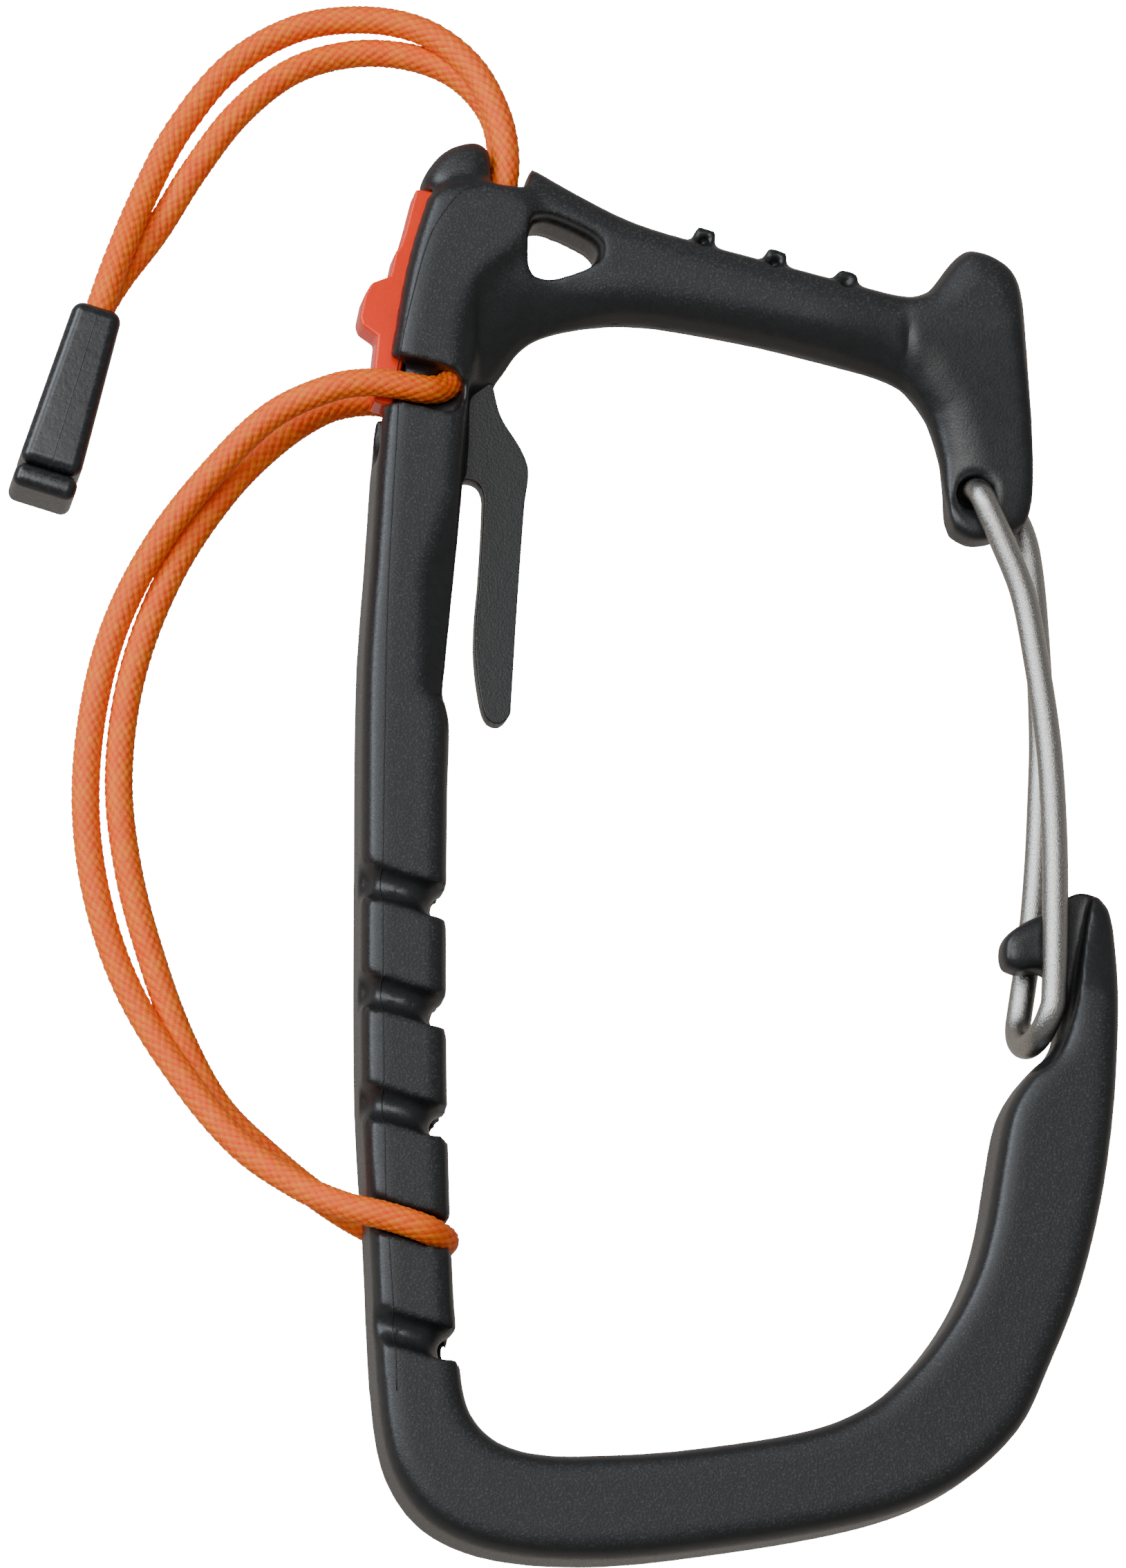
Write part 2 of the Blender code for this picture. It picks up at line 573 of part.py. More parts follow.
def cut_head(frame):
    """The notch through which both strands leave the head, and the triangular hole."""
    notch = [(13.7, TOP + 3.0), (13.3, TOP - 5.2), (17.2, TOP - 5.4), (18.6, TOP + 3.0)]
    combine(frame, plate("cord_notch", notch, -1, THICKNESS + 1), "DIFFERENCE")
    hole = outline(
        [
            (17.5, TOP - 10.0), (17.9, TOP - 8.7), (19.3, TOP - 8.5), (23.6, TOP - 10.2),
            (24.9, TOP - 11.4), (24.6, TOP - 12.8), (23.3, TOP - 13.6), (19.3, TOP - 14.8),
            (17.9, TOP - 14.4), (17.5, TOP - 13.0),
        ],
        step=1.6,
    )
    combine(frame, plate("triangular_hole", hole, -1, THICKNESS + 1), "DIFFERENCE")
    for name, low, high in (("near_flare", MIDDLE + 2.4, THICKNESS + 1), ("far_flare", -1, MIDDLE - 2.4)):
        combine(frame, plate(name, inset(hole, -HOLE_FLARE), low, high), "DIFFERENCE")


def add_bumps(frame):
    """Small loops across the handle's top edge, each with an eye on the near side."""
    first, second = across(0.497), across(0.731)
    drop = 2.0
    slope = -math.atan2(drop, second - first)
    half = BUMP_LENGTH / 2
    for i in range(BUMP_COUNT):
        x = first + (second - first) * i
        y = TOP - 9.9 - drop * i
        for name, low, high, kind in (
            ("bump", (-BUMP_WIDTH / 2, -1.2, -half), (BUMP_WIDTH / 2, BUMP_RISE, half), "UNION"),
            ("bump_eye", (-0.55, -0.9, half - 1.2), (0.55, BUMP_RISE - 0.7, half + 1), "DIFFERENCE"),
        ):
            block = box(f"{name}_{i + 1}", low, high, rounding=0.4)
            place = Matrix.Translation((x * MM, y * MM, MIDDLE * MM))
            block.matrix_world = place @ Matrix.Rotation(slope, 4, "Z")
            combine(frame, block, kind)


def cut_scoops(frame):
    """A slope on each face of the spine beside the tongue's tip, which runs out towards the head."""
    foot = TOP - 61.7
    sections = (
        (foot + 2.1, foot, 0.8, -SCOOP_DEPTH),
        (foot + SCOOP_LENGTH * 0.6, foot + SCOOP_LENGTH * 0.6, 0.5, -SCOOP_DEPTH * 0.6),
        (foot + SCOOP_LENGTH, foot + SCOOP_LENGTH, 0.5, 0.1),
    )
    for name, side in (("near_scoop", 1), ("far_scoop", -1)):
        bm = bmesh.new()
        rings = []
        for y_left, y_right, rise, drop in sections:
            left, right = SPINE_WIDTH - 4.5, SPINE_WIDTH + 1.6
            corners = [(left, y_left, rise), (right, y_right, rise), (right, y_right, drop)]
            rings.append(
                [bm.verts.new((x * MM, y * MM, (MIDDLE + side * (MIDDLE + z)) * MM)) for x, y, z in corners]
            )
        for lower, upper in zip(rings, rings[1:]):
            for i in range(3):
                j = (i + 1) % 3
                bm.faces.new((lower[i], lower[j], upper[j], upper[i]))
        bm.faces.new(rings[0])
        bm.faces.new(rings[-1])
        bmesh.ops.recalc_face_normals(bm, faces=bm.faces)
        combine(frame, new_object(name, bm), "DIFFERENCE")


def make_frame(paint, passage):
    """The whole moulded body. Its plates are joined first and cut afterwards."""
    frame = plate("frame", backbone_outline(), 0, THICKNESS, BODY_ROUNDING, paint)
    half = MIDDLE - HANDLE_SINK
    handle = plate("handle", handle_outline(), MIDDLE - half, MIDDLE + half, HANDLE_ROUNDING)
    half = MIDDLE - HOOD_SINK
    hood = plate("hood", hood_outline(), MIDDLE - half, MIDDLE + half, HOOD_ROUNDING)
    half = TONGUE_THICKNESS / 2
    tongue = plate("tongue", tongue_outline(), MIDDLE - half, MIDDLE + half)
    nub = plate("nub", nub_outline(), MIDDLE - LOBE_THICKNESS / 2, MIDDLE + LOBE_THICKNESS / 2, 0.9)
    for part in (handle, hood, tongue, nub):
        combine(frame, part, "UNION")
    cut_lobe_faces(frame)
    add_bumps(frame)
    cut_head(frame)
    cut_slot(frame)
    cut_slider_pocket(frame)
    cut_scoops(frame)
    cut_wire_seats(frame)
    cut_pivots(frame)
    for i in range(GROOVE_COUNT):
        route = groove_route(FIRST_GROOVE + GROOVE_PITCH * i, from_back=3.4)
        groove = as_mesh(tube(f"groove_{i + 1}", route, GROOVE_WIDTH, 2))
        combine(frame, groove, "DIFFERENCE")
    combine(frame, passage, "DIFFERENCE", crosses_itself=True)
    return frame


def make_slider(paint):
    """The orange cord lock: a ridged tongue with a thumb knob and two tips."""
    low, high = slider_front(0)
    shape = [*SLIDER_BACK, high, low]
    half = SLIDER_THICKNESS / 2
    slider = plate("cord_lock_slider", shape, MIDDLE - half, MIDDLE + half, 0.4, paint, segments=1)
    split = [(2.0, TOP - 4.0), (9.6, TOP - 4.0), (8.0, TOP - 12.5), (2.0, TOP - 12.5)]
    combine(slider, plate("tip_split", split, MIDDLE - 0.7, MIDDLE + 0.7), "DIFFERENCE")
    return slider


def make_cord_end(black, brass, passage):
    """The moulded barrel on both cord ends, its cap and the strip let into its side."""
    turn = math.radians(-15.8)
    place = Matrix.Translation((-30.4 * MM, (TOP - 29.7) * MM, 0)) @ Matrix.Rotation(turn, 4, "Z")
    half_length = CORD_END_LENGTH / 2
    split = -half_length + CAP_LENGTH
    bottom = CORD_END_WIDTH / 2
    narrow = bottom - 0.75
    low = 0.05
    high = low + CORD_END_HEIGHT
    foot = bottom - 0.5
    barrel_shape = [
        (-bottom, split + FIT), (-narrow, half_length), (narrow, half_length), (bottom, split + FIT),
    ]
    cap_shape = [(-foot, -half_length), (-bottom, split), (bottom, split), (foot, -half_length)]
    barrel = plate("cord_end_barrel", barrel_shape, low, high, 1.0, black)
    cap = plate("cord_end_cap", cap_shape, low, high, 0.8, black)
    middle = low + CORD_END_HEIGHT / 2
    side = bottom - 0.37 - STRIP_DEPTH
    lean = Matrix.Rotation(math.atan2(bottom - narrow, CORD_END_LENGTH - CAP_LENGTH), 4, "Z")
    strips = []
    for name, gap in (("cord_end_strip", 0.0), ("strip_pocket", FIT)):
        low_corner = (side - gap, -STRIP_LENGTH / 2 - gap, middle - STRIP_HEIGHT / 2 - gap)
        high_corner = (side + STRIP_DEPTH + 3 * gap, STRIP_LENGTH / 2 + gap, middle + STRIP_HEIGHT / 2 + gap)
        strips.append(box(name, low_corner, high_corner, paint=None if gap else brass))
    strip, pocket = strips
    for obj in (barrel, cap):
        obj.matrix_world = place
    for obj in (strip, pocket):
        obj.matrix_world = place @ lean
    combine(barrel, pocket, "DIFFERENCE")
    combine(barrel, passage, "DIFFERENCE", crosses_itself=True)
    return [barrel, cap, strip]


def main():
    clear_scene()
    black = material("black_polyamide", (0.025, 0.026, 0.029), 0.55, 0.0)
    steel = material("satin_stainless", (0.62, 0.61, 0.58), 0.28, 1.0)
    orange = material("orange_acetal", (0.85, 0.12, 0.01), 0.22, 0.0)
    braid = material("orange_braid", (0.9, 0.2, 0.02), 0.75, 0.0)
    gloss = material("gloss_black", (0.015, 0.015, 0.018), 0.25, 0.0)
    brass = material("brass_strip", (0.55, 0.42, 0.16), 0.3, 1.0)

    route = cord_route()
    cord = tube("cord", route, CORD_DIAMETER, 2, braid)
    passage = as_mesh(tube("cord_passage", lengthened(route, FIT), CORD_DIAMETER + 2 * FIT, 2))
    frame = make_frame(black, passage)
    wire = tube("wire_gate", wire_route(), WIRE_DIAMETER, 2, steel)
    slider = make_slider(orange)
    cord_end = make_cord_end(gloss, brass, passage)

    shade(frame)
    for obj in (slider, *cord_end):
        shade(obj)

    origin = bpy.data.objects.new("origin", None)
    bpy.context.collection.objects.link(origin)
    for obj in list(bpy.data.objects):
        if obj is not origin:
            obj.parent = origin
    origin.location = (-REACH / 2 * MM, -TOP / 2 * MM, 0)


if __name__ == "__main__":
    main()
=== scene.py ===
"""Harness tool carabiner: the looks of each piece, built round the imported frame.

The carabiner lies on its far side. Places are given in millimetres from the moulded body's lowest
corner, X towards the gate, Y towards the head and Z up, and are turned into metres by bench().
"""

import json
import math

import bmesh
import bpy
import numpy as np
from bpy.props import FloatProperty, FloatVectorProperty, IntProperty, PointerProperty
from mathutils import Matrix, Vector
from mathutils.bvhtree import BVHTree

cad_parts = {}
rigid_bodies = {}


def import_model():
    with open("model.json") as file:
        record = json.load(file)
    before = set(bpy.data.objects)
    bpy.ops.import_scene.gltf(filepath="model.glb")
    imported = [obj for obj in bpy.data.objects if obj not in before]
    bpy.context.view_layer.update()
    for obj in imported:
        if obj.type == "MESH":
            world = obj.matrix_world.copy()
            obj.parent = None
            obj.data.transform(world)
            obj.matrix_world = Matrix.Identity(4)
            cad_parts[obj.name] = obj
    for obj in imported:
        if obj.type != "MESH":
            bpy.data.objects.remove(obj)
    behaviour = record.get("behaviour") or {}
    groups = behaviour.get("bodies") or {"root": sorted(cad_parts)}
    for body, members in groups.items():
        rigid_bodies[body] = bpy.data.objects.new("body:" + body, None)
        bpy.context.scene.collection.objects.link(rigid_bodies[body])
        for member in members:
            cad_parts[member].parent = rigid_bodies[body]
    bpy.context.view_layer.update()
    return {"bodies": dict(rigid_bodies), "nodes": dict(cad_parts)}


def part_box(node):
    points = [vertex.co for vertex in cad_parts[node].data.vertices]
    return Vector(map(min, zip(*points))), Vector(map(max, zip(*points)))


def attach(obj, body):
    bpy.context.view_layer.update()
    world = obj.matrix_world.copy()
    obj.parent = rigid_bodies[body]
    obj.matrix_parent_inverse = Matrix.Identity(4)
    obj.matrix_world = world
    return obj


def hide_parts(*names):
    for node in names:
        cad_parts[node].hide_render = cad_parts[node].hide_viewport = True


bl_info = {
    "name": "Harness Tool Carabiner",
    "version": (1, 0, 0),
    "blender": (4, 5, 0),
    "location": "3D View > Sidebar > Tool Carabiner",
    "description": "Makes the finished pieces of a moulded tool carabiner with a wire gate and a cord",
    "category": "Object",
}

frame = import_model()

MM = 0.001
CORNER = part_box("frame")[0]
REACH = (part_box("frame")[1] - CORNER).x / MM
TOP = (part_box("frame")[1] - CORNER).y / MM
THICKNESS = (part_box("frame")[1] - CORNER).z / MM
MIDDLE = THICKNESS / 2

LOBE_THICKNESS = 4.8
WIRE_DIAMETER = 2.7
WIRE_FIT = 0.3
LEG_OFFSET = LOBE_THICKNESS / 2 + WIRE_FIT + WIRE_DIAMETER / 2
PIVOT_SINK = 1.8
NEAR_PIVOT = (REACH - 14.4, TOP - 36.1)
FAR_PIVOT = (REACH - 13.0, TOP - 34.6)

CORD_DIAMETER = 2.8
SPINE_WIDTH = 8.9
TONGUE_THICKNESS = 2.4
GROOVE_DEPTH = 1.5
GROOVE_SLANT = 0.27
FIRST_GROOVE = 21.2
GROOVE_PITCH = 11.5
GROOVE_COUNT = 5
SLOT_Y = TOP - 27.4
SLIDER_LENGTH = 24.0
SLIDER_THICKNESS = 4.4
HOLE_PLACE = (20.9, TOP - 11.7)
SEAM_RADIUS = 0.075

CORD_END_PLACE = (-30.4, TOP - 29.7)
CORD_END_TURN = math.radians(-15.8)
CORD_END_LENGTH = 21.0
CORD_END_WIDTH = 6.7
CORD_END_HEIGHT = 8.0
CAP_LENGTH = 2.6
CAP_GAP = 0.14
END_LINE_WIDTH = 0.14

FLOOR_DROP = 0.00005


def bench(x, y, z=0.0):
    """A place in millimetres from the body's lowest corner, as a point in metres."""
    return CORNER + Vector((x, y, z)) * MM


def smooth_run(points, step):
    """Points about a step apart on a smooth curve through the given ones, with both ends."""
    pts = [Vector(p) for p in points]
    pts = [pts[0] * 2 - pts[1], *pts, pts[-1] * 2 - pts[-2]]
    out = []
    for p0, p1, p2, p3 in zip(pts, pts[1:], pts[2:], pts[3:]):
        chord = (p2 - p1).length
        leaving = (p2 - p0) * (chord / max(chord + (p1 - p0).length, 1e-6))
        arriving = (p3 - p1) * (chord / max(chord + (p3 - p2).length, 1e-6))
        count = max(1, math.ceil(chord / step))
        for k in range(count):
            t = k / count
            out.append(
                p1 * (2 * t**3 - 3 * t**2 + 1)
                + leaving * (t**3 - 2 * t**2 + t)
                + p2 * (3 * t**2 - 2 * t**3)
                + arriving * (t**3 - t**2)
            )
    return [*out, pts[-2]]


def cord_route():
    """The cord from end to end: barrel, upper loop, head, lower loop, a groove and back again."""
    radius = CORD_DIAMETER / 2
    near = MIDDLE + radius + 0.15
    low = radius + 0.15
    recess = THICKNESS - 0.1 - radius
    rim = THICKNESS - GROOVE_DEPTH + radius
    groove = FIRST_GROOVE + GROOVE_PITCH
    turn = SPINE_WIDTH + 0.3 - GROOVE_DEPTH + radius
    rise = GROOVE_SLANT * (turn - 2.6)
    upper_near = [
        (-28.6, TOP - 23.8, 5.65), (-27.5, TOP - 19.8, 5.6), (-25.4, TOP - 13.4, 4.6),
        (-22.3, TOP - 5.4, 2.4), (-18.8, TOP + 1.8, low), (-13.2, TOP + 9.1, low),
        (-6.4, TOP + 13.3, 2.0), (0.8, TOP + 14.2, 3.2), (6.9, TOP + 12.7, 4.5), (11.6, TOP + 8.8, 5.7),
        (14.4, TOP + 3.2, 6.6),
    ]
    down_near = [
        (15.2, TOP - 1.8, near), (14.7, TOP - 6.3, near), (13.4, TOP - 12.0, near),
        (11.9, TOP - 17.8, near), (10.9, TOP - 22.6, near), (10.1, TOP - 25.2, near),
        (8.7, TOP - 26.9, near + 0.5), (6.8, SLOT_Y - 0.2, recess - 0.7),
        (4.6, SLOT_Y - 0.1, recess - 0.1), (1.2, SLOT_Y + 0.2, recess),
    ]
    lower_near = [
        (-3.2, SLOT_Y - 0.4, 9.0), (-9.3, SLOT_Y - 3.1, 7.2), (-14.9, SLOT_Y - 8.5, 5.0),
        (-20.6, SLOT_Y - 16.0, 3.0), (-24.9, SLOT_Y - 24.8, 1.7), (-27.2, 88.1, low), (-27.8, 78.1, low),
        (-26.5, 68.6, low), (-23.3, groove + 26.6, 1.7), (-18.2, groove + 17.9, 2.8),
        (-12.0, groove + 9.9, 5.0), (-6.0, groove + 5.2, 7.6), (-1.6, groove + 2.9, 9.8),
    ]
    wrap = [
        (2.6, groove + rise, rim), (turn - 2.6, groove + 0.6, rim - 0.1),
        (turn - 0.5, groove, rim - 2.2), (turn, groove, MIDDLE + 0.6), (turn - 0.5, groove, low + 2.1),
        (turn - 2.6, groove + 0.6, low + 0.1), (2.6, groove + rise, low),
    ]
    lower_far = [
        (-2.6, groove + 4.7), (-8.4, groove + 9.2), (-13.6, groove + 14.2), (-17.4, groove + 20.8),
        (-20.6, groove + 29.1), (-23.3, 71.6), (-24.4, 81.5), (-23.1, SLOT_Y - 30.0),
        (-19.3, SLOT_Y - 19.4), (-13.9, SLOT_Y - 10.6), (-8.6, SLOT_Y - 4.8), (-3.3, SLOT_Y - 1.0),
    ]
    up_far = [(x, y, THICKNESS - z) for x, y, z in reversed(down_near)]
    upper_far = [
        (14.2, TOP + 3.8, 4.0), (10.8, TOP + 8.1, 3.5), (5.8, TOP + 10.4, 2.7), (-0.4, TOP + 10.8, 1.8),
        (-6.8, TOP + 8.7, low), (-12.5, TOP + 3.8, low), (-17.2, TOP - 2.8, low),
        (-21.2, TOP - 9.6, low), (-25.2, TOP - 15.4, 2.1), (-27.5, TOP - 19.8, 2.5),
        (-28.6, TOP - 23.8, 2.55),
    ]
    lower_far = [(x, y, low) for x, y in lower_far]
    return [*upper_near, *down_near, *lower_near, *wrap, *lower_far, *up_far, *upper_far]


def wire_route():
    """One bent wire: near end, near leg, loop round the hook's nub, far leg, far end."""
    near = MIDDLE + LEG_OFFSET
    far = MIDDLE - LEG_OFFSET
    inner = MIDDLE + LOBE_THICKNESS / 2 - PIVOT_SINK
    outer = MIDDLE - LOBE_THICKNESS / 2 + PIVOT_SINK
    near_leg = [
        (*NEAR_PIVOT, inner), (*NEAR_PIVOT, near - 1.35),
        (NEAR_PIVOT[0] + 0.35, NEAR_PIVOT[1] - 0.85, near - 0.25),
        (NEAR_PIVOT[0] + 1.2, NEAR_PIVOT[1] - 2.9, near), (REACH - 11.9, TOP - 42.0, near),
        (REACH - 9.9, TOP - 47.2, near), (REACH - 8.6, TOP - 54.0, near),
        (REACH - 7.3, TOP - 63.5, near), (REACH - 6.8, 77.0, near), (REACH - 6.8, 69.4, near),
    ]
    loop = []
    for i in range(9):
        angle = math.pi * i / 8
        loop.append(
            (
                REACH - 8.1 + math.cos(angle) - 0.9 * math.sin(angle),
                59.1 - LEG_OFFSET * math.sin(angle),
                MIDDLE + LEG_OFFSET * math.cos(angle),
            )
        )
    far_leg = [
        (REACH - 7.8, 67.5, far), (REACH - 7.1, 74.5, far), (REACH - 6.7, 81.0, far),
        (REACH - 6.4, TOP - 61.0, far), (REACH - 6.7, TOP - 51.0, far), (REACH - 7.6, TOP - 41.0, far),
        (REACH - 9.0, TOP - 37.0, far), (FAR_PIVOT[0] + 2.2, FAR_PIVOT[1] - 0.7, far),
        (FAR_PIVOT[0] + 0.8, FAR_PIVOT[1] - 0.25, far + 0.25), (*FAR_PIVOT, far + 1.35),
        (*FAR_PIVOT, outer),
    ]
    return [*near_leg, *loop, *far_leg]


def slider_outline():
    """The cord lock from its foot up its thumb side to the tip, then straight back down."""
    back = [
        (1.3, TOP - 28.8), (1.3, TOP - 24.6), (1.6, TOP - 21.7), (0.0, TOP - 20.6),
        (-0.3, TOP - 19.7), (0.2, TOP - 17.3), (1.0, TOP - 15.9), (2.9, TOP - 15.1),
        (3.4, TOP - 12.6), (4.0, TOP - 11.7), (4.6, TOP - 9.5), (5.6, TOP - 5.5),
    ]
    lean = math.radians(13.5)
    way = Vector((math.sin(lean), math.cos(lean)))
    low = Vector(back[0]) + Vector((way.y, -way.x)) * 1.9
    return [*back, tuple(low + way * SLIDER_LENGTH), tuple(low)]


def tongue_outline():
    """The thin flexing tongue beside the spine, with its root inside the head."""
    outer = [
        (13.9, TOP - 26.1), (14.8, TOP - 29.6), (16.9, TOP - 33.0), (17.7, TOP - 35.3),
        (17.3, TOP - 39.0), (16.5, TOP - 50.4), (15.9, TOP - 60.5), (15.8, TOP - 61.6),
        (14.8, TOP - 62.6), (13.6, TOP - 62.3), (12.9, TOP - 60.8), (12.2, TOP - 56.0),
        (12.2, TOP - 51.8), (12.6, TOP - 47.0), (13.0, TOP - 38.5), (12.7, TOP - 37.3),
        (12.0, TOP - 36.7), (11.0, TOP - 36.6), (10.0, TOP - 37.2), (9.4, TOP - 38.4),
    ]
    smooth = [(p.x, p.y) for p in smooth_run([(x, y, 0.0) for x, y in outer], 0.8)]
    return [*smooth, (8.0, TOP - 38.4), (8.0, TOP - 26.0)]


# The inner edge of the head's corner and the handle, from the tongue's root to the lobe
INNER_EDGE = [
    (12.2, TOP - 32.0), (13.2, TOP - 28.0), (14.0, TOP - 26.2), (16.4, TOP - 22.6),
    (18.6, TOP - 20.8), (22.3, TOP - 19.6), (27.0, TOP - 18.9), (31.7, TOP - 19.0),
    (42.5, TOP - 20.6), (REACH - 25.0, TOP - 23.3), (REACH - 21.6, TOP - 24.8),
    (REACH - 19.2, TOP - 28.0), (REACH - 17.8, TOP - 32.6), (REACH - 17.3, TOP - 36.8),
]
# The seam of the mould along the near edge of the spine's back, from the crown to the hook
MOULD_SEAM = [
    (12.1, TOP - 5.7), (10.3, TOP - 6.3), (8.4, TOP - 8.4), (6.6, TOP - 11.7), (4.8, TOP - 18.4),
    (3.7, TOP - 24.0), (3.4, TOP - 30.5), (2.4, 100.0), (2.1, 83.1), (2.0, 66.7), (2.4, 39.4),
    (2.9, 30.8), (3.4, 23.7), (3.7, 16.6),
]


class NodeTree:
    """Short calls for building a material's nodes."""

    def __init__(self, name):
        self.material = bpy.data.materials.new(name)
        self.material.use_nodes = True
        self.tree = self.material.node_tree
        self.shader = self.tree.nodes["Principled BSDF"]

    def node(self, kind, **settings):
        made = self.tree.nodes.new(kind)
        for key, value in settings.items():
            setattr(made, key, value)
        return made

    def link(self, output, socket):
        self.tree.links.new(output, socket)

    def feed(self, socket, value):
        """A number or colour is set on the socket, and an output is linked to it."""
        if isinstance(value, bpy.types.NodeSocket):
            self.link(value, socket)
        else:
            socket.default_value = value

    def set(self, **values):
        for key, value in values.items():
            self.feed(self.shader.inputs[key.replace("_", " ")], value)

    def place(self):
        return self.node("ShaderNodeTexCoord").outputs["Object"]

    def uv(self):
        return self.node("ShaderNodeTexCoord").outputs["UV"]

    def attribute(self, name):
        return self.node("ShaderNodeAttribute", attribute_name=name).outputs["Fac"]

    def stretched(self, vector, scale):
        mapping = self.node("ShaderNodeMapping")
        mapping.inputs["Scale"].default_value = scale
        self.link(vector, mapping.inputs["Vector"])
        return mapping.outputs["Vector"]

    def noise(self, vector, scale, detail=2.0, roughness=0.5):
        made = self.node("ShaderNodeTexNoise")
        self.link(vector, made.inputs["Vector"])
        made.inputs["Scale"].default_value = scale
        made.inputs["Detail"].default_value = detail
        made.inputs["Roughness"].default_value = roughness
        return made.outputs["Fac"]

    def between(self, value, low, high, start=0.0, end=1.0):
        """The value's range low to high, drawn out to start to end."""
        made = self.node("ShaderNodeMapRange")
        self.feed(made.inputs["Value"], value)
        made.inputs["From Min"].default_value = low
        made.inputs["From Max"].default_value = high
        made.inputs["To Min"].default_value = start
        made.inputs["To Max"].default_value = end
        return made.outputs["Result"]

    def sum(self, operation, first, second):
        made = self.node("ShaderNodeMath", operation=operation)
        self.feed(made.inputs[0], first)
        self.feed(made.inputs[1], second)
        return made.outputs["Value"]

    def blend(self, amount, first, second):
        made = self.node("ShaderNodeMix", data_type="RGBA")
        self.feed(made.inputs["Factor"], amount)
        self.feed(made.inputs["A"], first)
        self.feed(made.inputs["B"], second)
        return made.outputs["Result"]

    def raised(self, height, depth, normal=None):
        """A bump of the given depth in millimetres."""
        made = self.node("ShaderNodeBump")
        made.inputs["Distance"].default_value = depth * MM
        self.link(height, made.inputs["Height"])
        if normal:
            self.link(normal, made.inputs["Normal"])
        return made.outputs["Normal"]


def rgb(colour, factor=1.0):
    """A colour times a factor, as a socket takes it."""
    return (*(c * factor for c in colour), 1.0)


def black_polyamide(finish):
    """Spark-eroded black nylon. Its grain attribute is 1 on textured faces and 0 on polished ones. On
    textured faces, pale specks of painted glint lighten the base colour.
    """
    m = NodeTree("black_polyamide")
    place = m.place()
    grain = m.attribute("grain")
    speckle = m.noise(place, 4200.0, 3.0, 0.6)
    coarse = m.noise(place, 900.0, 3.0, 0.55)
    # Painted glints: pale specks lighten the base colour towards nine times the body colour on textured
    # faces
    sheen = m.between(speckle, 0.52, 0.74)
    painted_glints = m.sum("MULTIPLY", sheen, m.between(grain, 0.0, 1.0, 0.1, 1.0))
    base = m.blend(m.between(coarse, 0.3, 0.7), rgb(finish.body_colour), rgb(finish.body_colour, 1.5))
    m.set(
        Base_Color=m.blend(m.sum("MULTIPLY", painted_glints, 0.8), base, rgb(finish.body_colour, 9)),
        Roughness=m.sum(
            "ADD", m.between(grain, 0.0, 1.0, 0.36, 0.56), m.between(speckle, 0.3, 0.7, -0.08, 0.08)
        ),
        Specular_IOR_Level=0.5,
    )
    rough_skin = m.sum("MULTIPLY", speckle, m.between(grain, 0.0, 1.0, 0.4, 1.0))
    m.set(Normal=m.raised(rough_skin, 0.065, m.raised(coarse, 0.014)))
    return m.material


def satin_steel(finish):
    """Drawn and tumbled stainless wire, with grains drawn out along its length."""
    m = NodeTree("satin_stainless")
    uv = m.uv()
    drawn = m.noise(m.stretched(uv, (6.0, 0.5, 1.0)), 1.0, 4.0, 0.65)
    pits = m.noise(m.stretched(uv, (7.5, 4.5, 1.0)), 1.0, 3.0, 0.7)
    worn = m.noise(m.place(), 160.0, 3.0)
    m.set(
        Base_Color=m.blend(
            m.between(pits, 0.35, 0.7), rgb(finish.wire_colour, 0.62), rgb(finish.wire_colour)
        ),
        Metallic=1.0,
        Roughness=m.sum(
            "ADD", m.between(drawn, 0.3, 0.7, 0.12, 0.24), m.between(worn, 0.4, 0.7, 0.0, 0.06)
        ),
        Normal=m.raised(pits, 0.05, m.raised(drawn, 0.016)),
    )
    return m.material


def orange_acetal(finish):
    """Glossy moulded orange with a faint flow pattern."""
    m = NodeTree("orange_acetal")
    place = m.place()
    flow = m.noise(m.stretched(place, (1.0, 0.35, 1.0)), 420.0, 3.0)
    fine = m.noise(place, 2600.0, 2.0)
    m.set(
        Base_Color=m.blend(
            m.between(flow, 0.3, 0.7), rgb(finish.lock_colour), rgb(finish.lock_colour, 0.86)
        ),
        Roughness=m.between(fine, 0.3, 0.7, 0.2, 0.3),
        Specular_IOR_Level=0.25,
        Coat_Weight=0.25,
        Coat_Roughness=0.05,
        Subsurface_Weight=0.08,
        Subsurface_Scale=0.001,
        Normal=m.raised(fine, 0.004, m.raised(flow, 0.02)),
    )
    m.shader.inputs["Subsurface Radius"].default_value = (1.0, 0.35, 0.1)
    return m.material


def orange_braid(finish):
    """Braided polyester: each stitch has its own tone, the stitch crests carry a painted highlight, and the
    gaps between the stitches are painted darker and redder as shade.
    """
    m = NodeTree("orange_braid")
    uv = m.uv()
    hollow = m.attribute("hollow")
    stitch = m.attribute("stitch")
    fibres = m.noise(m.stretched(uv, (16.0, 3.0, 1.0)), 1.0, 3.0, 0.6)
    tone = m.blend(m.between(stitch, 0.1, 0.9), rgb(finish.cord_colour), rgb(finish.cord_light))
    # Painted highlight: the lit fibres on the stitch crests are painted in a paler orange
    crest = m.between(hollow, 0.3, 0.02)
    crest_highlight = m.sum("MULTIPLY", m.between(fibres, 0.5, 0.68), crest)
    tone = m.blend(m.sum("MULTIPLY", crest_highlight, 0.55), tone, rgb(finish.cord_crest_highlight))
    m.set(
        # Painted shade: the gaps between the stitches are painted darker and redder with the cord_shadow
        # colour
        Base_Color=m.blend(m.between(hollow, 0.3, 0.85), tone, rgb(finish.cord_shadow)),
        Roughness=m.between(fibres, 0.3, 0.7, 0.4, 0.6),
        Specular_IOR_Level=0.35,
        Subsurface_Weight=0.1,
        Subsurface_Scale=0.0008,
        Normal=m.raised(fibres, 0.06),
    )
    m.shader.inputs["Subsurface Radius"].default_value = (1.0, 0.3, 0.05)
    return m.material


